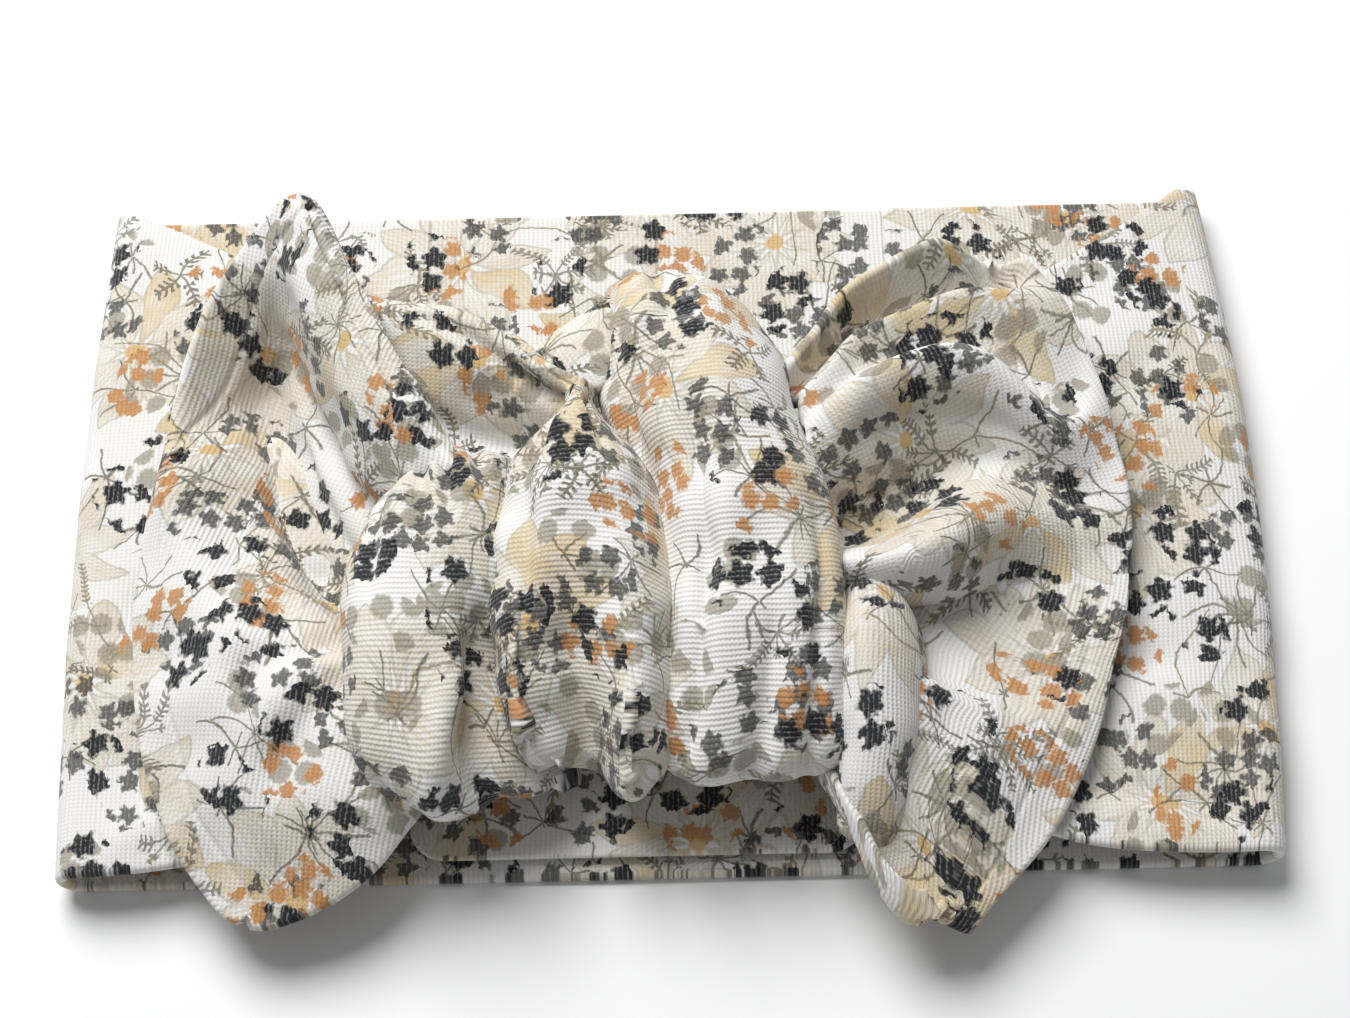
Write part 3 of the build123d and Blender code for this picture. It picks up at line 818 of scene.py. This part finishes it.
# %% Left wing
LEFT_WING = [
    [(-64.8, -70.1, 10), (-73.3, -61.2, 12), (-80.3, -44.2, 14), (-83.6, -26, 14), (-83.3, -9, 15),
     (-80.5, 9, 17.5), (-76, 24, 21.5), (-70, 36.5, 25), (-64, 44, 29), (-59, 47.3, 31.5),
     (-54.5, 45.5, 28.5), (-55, 43, 25)],
    [(-58.5, -69, 10.5), (-66, -59, 14), (-73, -43, 17), (-76, -26, 18), (-77.5, -10, 20),
     (-76.5, 6, 19.5), (-71, 17, 12), (-66, 30, 18), (-60.5, 38.5, 28.5), (-56.5, 41.5, 33),
     (-53, 41, 30), (-54, 39, 25)],
    [(-50, -66, 12.5), (-58, -56, 17), (-65, -42, 21), (-69, -27, 22), (-70, -13, 18.5),
     (-68.5, 2, 12), (-66, 15, 10.5), (-61.5, 23, 15.5), (-56, 27, 27.5), (-51.5, 28.5, 33),
     (-47.5, 28.5, 30), (-48.5, 27, 24)],
    [(-43, -60.6, 13.5), (-49, -50, 19.5), (-55, -39, 23), (-59, -28, 22.5), (-61, -19, 16),
     (-60, -11, 11), (-57, -3, 11), (-52.5, 4, 16.5), (-47, 8.5, 27.5), (-42.5, 11, 32),
     (-38.5, 12, 28.5), (-40, 11, 22)],
    [(-38, -54, 14), (-42, -46, 17), (-45, -36, 19), (-47, -28, 18), (-47.5, -22, 14),
     (-46, -17, 12), (-43, -12, 14), (-39.5, -7, 20), (-36, -4, 26), (-33, -2, 29),
     (-31, 1, 26), (-31.5, 2, 21)],
]
END_SEAM = 0.15
left_wing = spline_sheet(LEFT_WING, along=90, across=210)
for top in (0, 1):
    left_wing = round_corner(left_wing, 0, top, radius=4)
left_wing = creased(left_wing, (
    ((0.98, 0.42), (0.26, 0.61), 0.050, 3.4, 0.03),
    ((0.94, 0.33), (0.26, 0.50), 0.060, -2.2, 0.03),
    ((0.98, 0.20), (0.45, 0.10), 0.030, 1.8),
    ((0.98, 0.28), (0.50, 0.20), 0.030, 1.8),
    ((0.95, 0.63), (0.28, 0.65), 0.022, 2.4),
    ((0.95, 0.86), (0.14, 0.87), 0.012, 1.6),
    ((0.97, 0.54), (0.60, 0.60), 0.020, 1.2),
    ((0.92, 0.73), (0.24, 0.74), 0.028, -1.2),
    ((END_SEAM, 0.00), (END_SEAM, 0.98), 0.014, 0.45),
))
left_wing = ripple(left_wing, height=0.55, size=15, seed=41)
lay("left_wing_cloth", left_wing, place=(0.61, 0.0))

# %% [markdown]
# The right wing's stations run the other way, from the knot out, so that its face also looks
# up. Near the knot the sheet doubles back on itself: going up from the lower edge it dips into
# a mouth, comes forward as an overhanging lip, sinks into a hollow, climbs to a second crest
# and drops again to the flat upper part. Towards the outer end all of that opens out flat. The
# fold is in the control points, so it is one unbroken piece of cloth. A narrow rolled fold of
# its own runs down beside the knot.

# %% Right wing
RIGHT_WING = [
    [(24, -46, 17), (25, -38, 18), (26, -29, 17), (26.5, -22, 14), (26, -16, 12), (25, -20, 16.5),
     (25, -16.5, 24), (25, -11, 14), (24.5, -4, 19), (23.5, 4, 26), (23, 8.5, 22), (23, 12, 19),
     (22, 15.5, 18.5), (21.5, 19, 19)],
    [(28.5, -56, 18), (32.5, -45, 21), (35, -34, 19), (35, -24, 13.5), (32.5, -15, 12),
     (31, -22.5, 16), (31.5, -18, 27), (32, -10, 13.5), (31.5, -2, 18.5), (30.5, 8.5, 29.5),
     (30, 14, 24), (30, 18.5, 19.5), (29, 23, 19.5), (28, 27.5, 21)],
    [(31, -61, 16.5), (36.5, -50, 20.5), (40.5, -38, 18.5), (41, -26, 13.5), (38.5, -15, 12.5),
     (37.5, -23, 16), (38, -17, 28.5), (39, -5.5, 14.5), (38, 3.5, 19), (36, 12.5, 30),
     (35.5, 17.5, 24), (35, 22, 19.5), (34, 27, 20.5), (32.5, 32, 23)],
    [(34, -65.5, 14.5), (41, -54, 18), (47, -42, 17), (49.5, -29, 13.5), (47, -15.5, 12.5),
     (45.5, -21.5, 16), (46, -13.5, 28), (47.5, 0.5, 15.5), (46.5, 7, 19), (44.5, 15.5, 29.5),
     (44.5, 20.5, 23.5), (44, 25, 19.5), (42, 30.5, 21), (39, 35.5, 24)],
    [(37, -68.5, 12.5), (46.5, -57, 15.5), (54, -43.5, 15.5), (57.5, -30, 13.5), (56, -18, 13),
     (54.5, -17, 16), (55, -9, 23), (56, 1.5, 16), (55.5, 7, 19), (53.5, 14.5, 27.5),
     (54, 20, 22.5), (52.5, 26.5, 19.5), (49, 33, 22), (44.5, 38, 25)],
    [(41, -71, 11), (51.5, -59, 13), (60, -45, 14), (66, -32, 14), (67.5, -21, 14),
     (66.5, -14, 15), (65.5, -8, 16.5), (64.5, -3, 15), (63.5, 1.5, 17.5), (61.5, 7, 23),
     (62.5, 10.5, 19), (60.5, 22, 19.5), (55.5, 34, 22.5), (50, 40, 24.5)],
    [(45, -72.5, 9.5), (56, -61, 11.5), (65, -46, 12.5), (71, -30, 13.5), (73.5, -19, 14),
     (74.3, -12, 14.5), (74.5, -6, 15), (74.3, -1, 15.5), (73.7, 4, 16), (72.8, 10, 17.5),
     (71, 17, 19), (68, 26, 20.5), (62.5, 35, 22), (55, 41, 24)],
]
right_wing = spline_sheet(RIGHT_WING, along=100, across=240)
right_wing = round_corner(right_wing, 1, 1, radius=9)
right_wing = creased(right_wing, (
    ((0.05, 0.20), (0.62, 0.17), 0.030, -1.5),
    ((0.06, 0.10), (0.58, 0.10), 0.025, 1.5),
    ((0.10, 0.27), (0.80, 0.25), 0.022, 1.2),
    ((0.10, 0.66), (0.75, 0.62), 0.018, 1.2),
    ((1 - END_SEAM, 0.00), (1 - END_SEAM, 1.00), 0.012, 0.45),
))
right_wing = ripple(right_wing, height=0.35, size=17, seed=42)
lay("right_wing_cloth", right_wing, place=(0.70, 0.03))

RIGHT_ROLL = [
    [(25.5, -56, 13), (25.5, -50, 16), (25.5, -40, 19), (26, -28, 19), (27.5, -21, 16)],
    [(26, -58, 14.5), (27, -52, 20.5), (27, -40, 24.5), (27.5, -27, 25), (29, -19.5, 20)],
    [(28.5, -60, 14.5), (30.5, -53.5, 22), (31, -40, 27), (31.5, -26, 27), (32.5, -18.5, 21)],
    [(32, -61, 13.5), (34.5, -54, 20.5), (36, -41, 25), (37, -28, 24.5), (36.5, -20.5, 19)],
    [(34, -60, 12), (37, -53, 15), (39.5, -42, 17.5), (40.5, -31, 17.5), (39.5, -24, 14)],
]
right_roll = spline_sheet(RIGHT_ROLL, along=40, across=80)
right_roll = ripple(right_roll, height=0.3, size=12, seed=44)
lay("right_wing_side_roll", right_roll, place=(0.85, 0.02))

# %% [markdown]
# ## The cloth
#
# The finish is one material for every piece, because every piece is cut from one cloth. It
# has three layers: the knit, whose ribs are real relief in the shading; the print, which sits
# on top of the ribs and breaks between them; and a soft nap that catches light at the edges.
#
# All of it is drawn from the cloth coordinate in millimetres. The words below keep the node
# code short: each adds nodes to the material and gives back what comes out of them. `wire`
# fills an input with a number or with another node's output, and `maths` is one sum.

# %% Words for node sums
CIRCLE = 2 * math.pi
knit = bpy.data.materials.new("printed_rib_knit")
knit.use_nodes = True
tree = knit.node_tree


def wire(socket, value):
    """Give an input a constant, or link it to an output."""
    if isinstance(value, bpy.types.NodeSocket):
        tree.links.new(value, socket)
    else:
        socket.default_value = value


def maths(operation, *values, clamp=False):
    """One Math node."""
    node = tree.nodes.new("ShaderNodeMath")
    node.operation = operation
    node.use_clamp = clamp
    for socket, value in zip(node.inputs, values):
        wire(socket, value)
    return node.outputs[0]


def minus(value, less):
    """A difference."""
    return maths("SUBTRACT", value, less)


def times(product, *factors):
    """A product. Of masks, it is 1 only where every mask is 1."""
    for factor in factors:
        product = maths("MULTIPLY", product, factor)
    return product


def times_plus(value, factor, more):
    """A product and a sum in one node."""
    return maths("MULTIPLY_ADD", value, factor, more)


def above(value, least):
    """1 where value is above least."""
    return maths("GREATER_THAN", value, least)


def below(value, most):
    """1 where value is below most."""
    return maths("LESS_THAN", value, most)


print("sums: maths, minus, times, times_plus, above, below")

# %% [markdown]
# The other words are for places and colours. A place on the cloth is a vector; `wobble` is a
# smooth random offset to move it by. `fade` makes a mask with a soft edge, and `paint` lays one
# colour over another through a mask.

# %% Words for places and colours
def vector_maths(operation, *values):
    """One Vector Math node, as its vector output."""
    node = tree.nodes.new("ShaderNodeVectorMath")
    node.operation = operation
    for socket, value in zip(node.inputs, values):
        wire(socket, value)
    return node.outputs["Vector"]


def scaled(vector, factor):
    """A vector times one number."""
    product = vector_maths("SCALE", vector)
    wire(product.node.inputs["Scale"], factor)
    return product


def noise(place, size, detail):
    """Smooth noise about size millimetres across, as (value, colour)."""
    node = tree.nodes.new("ShaderNodeTexNoise")
    wire(node.inputs["Vector"], place)
    node.inputs["Scale"].default_value = 1 / size
    node.inputs["Detail"].default_value = detail
    return node.outputs["Fac"], node.outputs["Color"]


def wobble(place, size, detail, reach):
    """A random offset that changes over size millimetres, at most reach from end to end."""
    centred = vector_maths("SUBTRACT", noise(place, size, detail)[1], (0.5, 0.5, 0.5))
    return scaled(centred, reach)


def fade(value, start, end):
    """From 1 where value is below start to 0 where it is above end."""
    node = tree.nodes.new("ShaderNodeMapRange")
    node.interpolation_type = "SMOOTHSTEP"
    for name, number in (("Value", value), ("From Min", start), ("From Max", end),
                         ("To Min", 1), ("To Max", 0)):
        wire(node.inputs[name], number)
    return node.outputs["Result"]


def paint(under, over, mask):
    """Lay a colour over another where mask is 1."""
    node = tree.nodes.new("ShaderNodeMix")
    node.data_type = "RGBA"
    wire(node.inputs["Factor"], mask)
    wire(node.inputs[6], under)
    wire(node.inputs[7], over)
    return node.outputs[2]


print("words: vector_maths, scaled, noise, wobble, fade, paint")

# %% [markdown]
# A printed motif repeats without lining up. A Voronoi texture gives just that: it scatters
# points over the plane, and tells each place which point is nearest. Measured from that point,
# a place has a distance and an angle, and a flower is a distance that changes with the angle.
# `scatter` sets out the motifs, and each motif's own random numbers, its luck, pick which ones
# are printed. `lot` draws a further number for each petal or stem of a motif.

# %% Scattered motifs
def scatter(place, spacing, loose, shift):
    """For each place: the distance and angle from the nearest motif, and that motif's luck."""
    moved = vector_maths("ADD", place, (shift, 1.7 * shift, 0))
    node = tree.nodes.new("ShaderNodeTexVoronoi")
    node.voronoi_dimensions = "2D"
    wire(node.inputs["Vector"], moved)
    node.inputs["Scale"].default_value = 1 / spacing
    node.inputs["Randomness"].default_value = loose
    offset = tree.nodes.new("ShaderNodeSeparateXYZ")
    wire(offset.inputs[0], vector_maths("SUBTRACT", moved, node.outputs["Position"]))
    luck = tree.nodes.new("ShaderNodeSeparateColor")
    wire(luck.inputs[0], node.outputs["Color"])
    x, y = offset.outputs[:2]
    distance = maths("SQRT", times_plus(y, y, times(x, x)))
    return distance, maths("ARCTAN2", y, x), luck.outputs


def lot(luck, step, number):
    """A random number for each numbered part of each motif."""
    node = tree.nodes.new("ShaderNodeTexWhiteNoise")
    node.noise_dimensions = "1D"
    wire(node.inputs["W"], times_plus(luck, step, number))
    return node.outputs["Value"]


def petalled(distance, angle, turn, petals, radius, depth, soft):
    """A flower's mask: a disc whose edge swings in and out once for each petal."""
    swing = maths("COSINE", times_plus(angle, float(petals), turn))
    reach = times_plus(swing, radius * depth, radius * (1 - depth))
    return fade(minus(distance, reach), -soft, soft)


print("motif words: scatter, lot, petalled")

# %% [markdown]
# The ground is off-white. The largest motifs are pale daisies drawn in watercolour: each petal
# is a spindle shape round a line that runs out from the centre, with fine veins, a darker
# outline, and here and there a golden one. To draw petals, the angle is cut into equal slices,
# and each slice has its own middle line.

# %% Daisies
GROUND = (0.85, 0.835, 0.80, 1)
CREAM = (0.68, 0.60, 0.46, 1)
BEIGE = (0.42, 0.355, 0.25, 1)
PALE_GOLD = (0.68, 0.52, 0.26, 1)
GOLD = (0.64, 0.40, 0.11, 1)
PETALS = 10
PETAL_START = 1.6
PETAL_LENGTH = 14.5
PETAL_WIDTH = 3.1
PETAL_POINT = 1.3
PETAL_EDGE = (-0.25, 0.15)
OUTLINE_EDGE = (0.05, 0.40)
HEART_EDGE = (1.3, 1.9)
VEIN_PITCH = 0.9
WASH_SIZE = 6.0
PLAIN_SHARE = 0.80


def daisies(place, colour, spacing, shift):
    """Large pale daisies with gold centres."""
    distance, angle, luck = scatter(place, spacing, 0.8, shift)
    slices = times_plus(angle, PETALS / CIRCLE, times(luck[0], 9.0))
    number = maths("FLOOR", slices)
    aside = times(minus(maths("FRACT", slices), 0.5), distance, CIRCLE / PETALS)
    far = times(minus(distance, PETAL_START), 1 / PETAL_LENGTH)
    arch = maths("SINE", times(maths("POWER", far, PETAL_POINT, clamp=True), math.pi))
    inside = minus(maths("ABSOLUTE", aside), times(arch, PETAL_WIDTH))
    outward = times(above(far, 0.0), below(far, 1.0))
    petal = times(fade(inside, *PETAL_EDGE), outward)
    outline = times(fade(maths("ABSOLUTE", inside), *OUTLINE_EDGE), outward)
    veins = maths("COSINE", times(aside, CIRCLE / VEIN_PITCH))
    wash = noise(place, WASH_SIZE, 3.0)[0]
    tone = times_plus(veins, 0.20, times_plus(wash, 1.5, -0.22))
    colour = paint(colour, CREAM, times(petal, tone))
    golden = times(petal, above(lot(luck[1], 31.0, number), PLAIN_SHARE), wash)
    colour = paint(colour, PALE_GOLD, maths("MULTIPLY", golden, 1.1, clamp=True))
    colour = paint(colour, BEIGE, times(outline, 0.52))
    return paint(colour, GOLD, times(fade(distance, *HEART_EDGE), 0.85))


print("a daisy is", 2 * (PETAL_START + PETAL_LENGTH), "mm across")

# %% [markdown]
# Over the daisies come thin stems in sprays, some with leaves like a fern's. A spray is the
# same trick as the daisy, with a few slices and a very thin petal.

# %% Stems
STEM = (0.16, 0.14, 0.095, 1)
OLIVE = (0.27, 0.235, 0.14, 1)
STEM_HALF = 0.18
STEM_EDGE = (-0.10, 0.12)
STEM_CURL = 0.14
LEAF_HALF = 0.85
LEAF_SLANT = -0.6
LEAVES_PER_MM = 0.95


def stems(place, colour, shade, spacing, spokes, shift, fern, strength):
    """Sprays of thin stems that fan out from scattered points, with fern leaves on some."""
    distance, angle, luck = scatter(place, spacing, 0.95, shift)
    curl = times(minus(luck[1], 0.5), STEM_CURL)
    bent = times_plus(distance, curl, angle)
    turns = times_plus(bent, spokes / CIRCLE, times(luck[0], 5.0))
    aside = maths("ABSOLUTE", minus(maths("FRACT", turns), 0.5))
    gap = times(aside, distance, CIRCLE / spokes)
    leaf = maths("FRACT", times_plus(gap, LEAF_SLANT, times(distance, LEAVES_PER_MM)))
    leaf = times(above(leaf, 0.50), LEAF_HALF)
    leafy = times(above(luck[2], fern), above(distance, 0.12 * spacing), leaf)
    line = fade(minus(gap, maths("ADD", leafy, STEM_HALF)), *STEM_EDGE)
    fate = lot(luck[2], 17.0, maths("FLOOR", turns))
    longest = times_plus(fate, 0.58 * spacing, -0.06 * spacing)
    return paint(colour, shade, times(line, below(distance, longest), strength))


print("a stem is", 2 * STEM_HALF, "mm wide")

# %% [markdown]
# The small flowers grow in heads: a sparse scatter places the heads, and a dense one places the
# flowers, which are printed only inside a head. A few flowers are left out, at random.

# %% Flower heads
TAUPE = (0.29, 0.255, 0.18, 1)
RUST = (0.55, 0.25, 0.075, 1)
SLATE = (0.050, 0.051, 0.047, 1)
INK = (0.0040, 0.0065, 0.0105, 1)
ANY_TURN = 6.28
HEAD_LOBES = 0.28
FLOWER_GAP = 1.16
FLOWER_RADIUS = 0.52
FLOWER_SOFT = 0.08
LEFT_OUT = 0.14


def heads(place, colour, shade, spacing, spread, share, flower, petals, depth, shift, strength):
    """Flower heads: spacing, spread and flower are in mm, share is the part that is printed."""
    distance, angle, luck = scatter(place, spacing, 0.9, shift)
    lobes = maths("COSINE", times_plus(angle, 2.0, times(luck[0], ANY_TURN)))
    edge = times_plus(lobes, HEAD_LOBES * spread, spread)
    head = times(below(distance, edge), below(luck[1], share))
    distance, angle, luck = scatter(place, FLOWER_GAP * flower, 0.62, shift + 5.0)
    turn = times(luck[1], ANY_TURN)
    shape = petalled(distance, angle, turn, petals,
                     FLOWER_RADIUS * flower, depth, FLOWER_SOFT * flower)
    mask = times(head, shape, above(luck[0], LEFT_OUT))
    return paint(colour, shade, times(mask, strength))


print("motifs: daisies, stems, heads")

# %% [markdown]
# The knit comes next. Each rib is a ridge along the strip's width, under a millimetre wide,
# made of stitches like small slanting leaves. The ribs drift a little, as they do in real
# cloth. The same two waves, `rib` and `stitch`, drive the bump and a painted shade in the
# colour further down, so the two always agree.
#
# The print is drawn at places that are moved a little from the true ones. `neat` is hardly
# moved, `ragged` makes the small flowers look printed with a worn block, and `drawn` bends the
# stems and petals so that they look drawn by hand.

# %% Ribs, stitches and moved places
RIB_PITCH = 0.80
STITCH_PITCH = 0.66
STITCH_SLANT = 1.1
RIB_DRIFT = 0.5

coordinate = tree.nodes.new("ShaderNodeAttribute")
coordinate.attribute_name = "cloth"
place = scaled(coordinate.outputs["Vector"], 1 / MM)
rough_edge = wobble(place, size=1.1, detail=3.0, reach=2.4)
frayed = scaled(rough_edge, 0.3)
sway = wobble(place, size=14.0, detail=1.0, reach=9.0)
ragged = vector_maths("ADD", place, rough_edge)
neat = vector_maths("ADD", place, frayed)
drawn = vector_maths("ADD", vector_maths("ADD", place, sway), frayed)

parts = tree.nodes.new("ShaderNodeSeparateXYZ")
wire(parts.inputs[0], place)
along, across = parts.outputs[:2]
drift = noise(place, 7.0, 1.0)[0]
rib_angle = times(times_plus(drift, RIB_DRIFT, along), CIRCLE / RIB_PITCH)
rib = times_plus(maths("COSINE", rib_angle), 0.5, 0.5)
slant = times(maths("SINE", rib_angle), STITCH_SLANT)
stitch_angle = times_plus(across, CIRCLE / STITCH_PITCH, slant)
stitch = times_plus(maths("COSINE", stitch_angle), 0.5, 0.5)
print(f"{1 / RIB_PITCH:.2f} ribs and {1 / STITCH_PITCH:.2f} stitches in a millimetre")

# %% [markdown]
# The print goes on from the palest motif to the darkest, as a screen printer would lay it.
# Each layer has its own shift, so that no two are scattered alike.

# %% The print
first = tree.nodes.new("ShaderNodeRGB")
first.outputs[0].default_value = GROUND
colour = daisies(drawn, first.outputs[0], spacing=31, shift=9.0)
colour = stems(drawn, colour, OLIVE, spacing=29, spokes=5, shift=3.0, fern=0.60, strength=0.90)
colour = stems(drawn, colour, STEM, spacing=17, spokes=6, shift=11.0, fern=0.70, strength=0.88)
colour = stems(drawn, colour, STEM, spacing=21, spokes=9, shift=29.0, fern=0.64, strength=0.80)
colour = heads(neat, colour, TAUPE, spacing=20, spread=5.6, share=0.74,
               flower=3.9, petals=12, depth=0.05, shift=37.0, strength=0.74)
colour = heads(ragged, colour, SLATE, spacing=21, spread=6.4, share=0.76,
               flower=3.7, petals=5, depth=0.18, shift=71.0, strength=0.88)
colour = heads(ragged, colour, RUST, spacing=23, spread=5.2, share=0.74,
               flower=3.2, petals=7, depth=0.12, shift=113.0, strength=0.92)
colour = heads(ragged, colour, INK, spacing=19, spread=5.6, share=0.89,
               flower=4.6, petals=5, depth=0.16, shift=151.0, strength=0.98)
print("the print has", len(tree.nodes), "nodes")

# %% [markdown]
# Last come the wear and the relief. The ridges carry the print, and the valleys between them
# stay paler. The colour is also darkened a little in the valleys between ribs and stitches,
# which is painted shade on top of the real bump. The bump is given in millimetres of height.
# The cloth is rough, and a little sheen stands for its nap.

# %% Wear, relief, painted rib shade and nap
WEAR_LEAST = 0.60
VALLEY_PALE = 0.22
RIB_HEIGHT = 0.115
STITCH_HEIGHT = 0.045
FUZZ_HEIGHT = 0.06

wear = minus(noise(place, 0.5, 2.0)[0], WEAR_LEAST)
valley = maths("POWER", minus(1.0, rib), 2.0)
pale = maths("MULTIPLY_ADD", wear, 0.9, times(valley, VALLEY_PALE), clamp=True)
colour = paint(colour, GROUND, pale)
# painted shade: tone darkens the colour in the valleys between ribs and between stitches, where
# shade would fall
tone = times(times_plus(rib, 0.09, 0.87), times_plus(stitch, 0.07, 0.95))
shader = tree.nodes["Principled BSDF"]
wire(shader.inputs["Base Color"], scaled(colour, tone))

height = times_plus(stitch, STITCH_HEIGHT, times(rib, RIB_HEIGHT))
height = times_plus(noise(place, 0.25, 2.0)[0], FUZZ_HEIGHT, height)
bump = tree.nodes.new("ShaderNodeBump")
bump.inputs["Strength"].default_value = 0.75
bump.inputs["Distance"].default_value = MM
wire(bump.inputs["Height"], height)
wire(shader.inputs["Normal"], bump.outputs["Normal"])

for name, value in (("Roughness", 0.88), ("Specular IOR Level", 0.18),
                    ("Sheen Weight", 0.20), ("Sheen Roughness", 0.55)):
    shader.inputs[name].default_value = value
for piece in pieces.values():
    piece.data.materials.append(knit)
print("the cloth has", len(tree.nodes), "nodes")

# %% [markdown]
# ## Joining the cloth to the frame
#
# A piece that lies on one body rides on it. The pieces that cross a fold keep their place, with
# their transform baked into the mesh; they do not follow the bodies.

# %% Ride and bake
LEFT_WING_BEND = (8, -9)
RIGHT_WING_BEND = (-4, 12)


def at(x, y, z):
    """A place in millimetres, in metres."""
    return (x * MM, y * MM, z * MM)


for name, bodies, hinge, way in (
    ("band_rear_left", ("rear_centre", "rear_left"), "band_opening", -1),
    ("band_rear_right", ("rear_centre", "rear_right"), "rear_right_bend", 1),
    ("band_front_left", ("front_left", "knot"), "knot_left_bend", 1),
):
    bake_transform(pieces[name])

for side_name in ("left", "right"):
    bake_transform(pieces[f"band_{side_name}_turn"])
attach(pieces["band_front_right"], "front_right")

for name in ("knot_left_puff_cloth", "knot_middle_puff_cloth", "knot_right_puff_cloth",
             "knot_upper_flap", "knot_small_lobe", "knot_under_fold_cloth", "knot_back_loop_cloth"):
    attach(pieces[name], "knot")

for name, wing, (before, after) in (
    ("left_wing_cloth", "left_wing", LEFT_WING_BEND),
    ("right_wing_cloth", "right_wing", RIGHT_WING_BEND),
    ("right_wing_side_roll", "right_wing", RIGHT_WING_BEND),
):
    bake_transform(pieces[name])
print("pieces joined:", len(pieces))

# %% [markdown]
# Each plain solid of the imported model is now hidden, where a piece of cloth stands for it.

# %% Stand-ins
STANDS_FOR = {
    "band_rear_left": ("rear_centre_outer_ply", "rear_centre_inner_ply", "rear_joining_seam"),
    "band_rear_right": ("rear_right_outer_ply", "rear_right_inner_ply"),
    "band_left_turn": ("rear_left_outer_ply", "rear_left_inner_ply", "left_side_fold",
                       "front_left_pleat"),
    "band_right_turn": ("right_side_fold", "front_right_pleat"),
    "band_front_left": ("front_left_outer_ply", "front_left_inner_ply", "gathered_centre"),
    "band_front_right": ("front_right_outer_ply", "front_right_inner_ply"),
    "knot_left_puff_cloth": ("knot_left_puff",),
    "knot_middle_puff_cloth": ("knot_middle_puff",),
    "knot_right_puff_cloth": ("knot_right_puff",),
    "knot_upper_flap": ("knot_upper_fold",),
    "knot_under_fold_cloth": ("knot_under_fold",),
    "knot_back_loop_cloth": ("knot_back_loop", "tack_stitches"),
    "left_wing_cloth": ("left_wing_face_ply", "left_wing_back_ply", "left_wing_ridge_roll",
                        "left_wing_end_seam"),
    "right_wing_cloth": ("right_wing_face_ply", "right_wing_back_ply", "right_wing_end_seam",
                         "right_wing_inner_roll"),
    "right_wing_side_roll": ("right_wing_lower_roll",),
}
for name, nodes in STANDS_FOR.items():
    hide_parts(*nodes)
print("stand-ins:", len(STANDS_FOR))

# %% [markdown]
# The pieces are counted.

print("sheets declared:", len(pieces))

# %% [markdown]
# Last, the box of the imported model is printed. Cloth may stand a little proud of the solids,
# but it may not change the object's size.

# %% Print the model's size
print("cad box:", [[round(v / MM, 1) for v in corner] for corner in CAD_BOX])
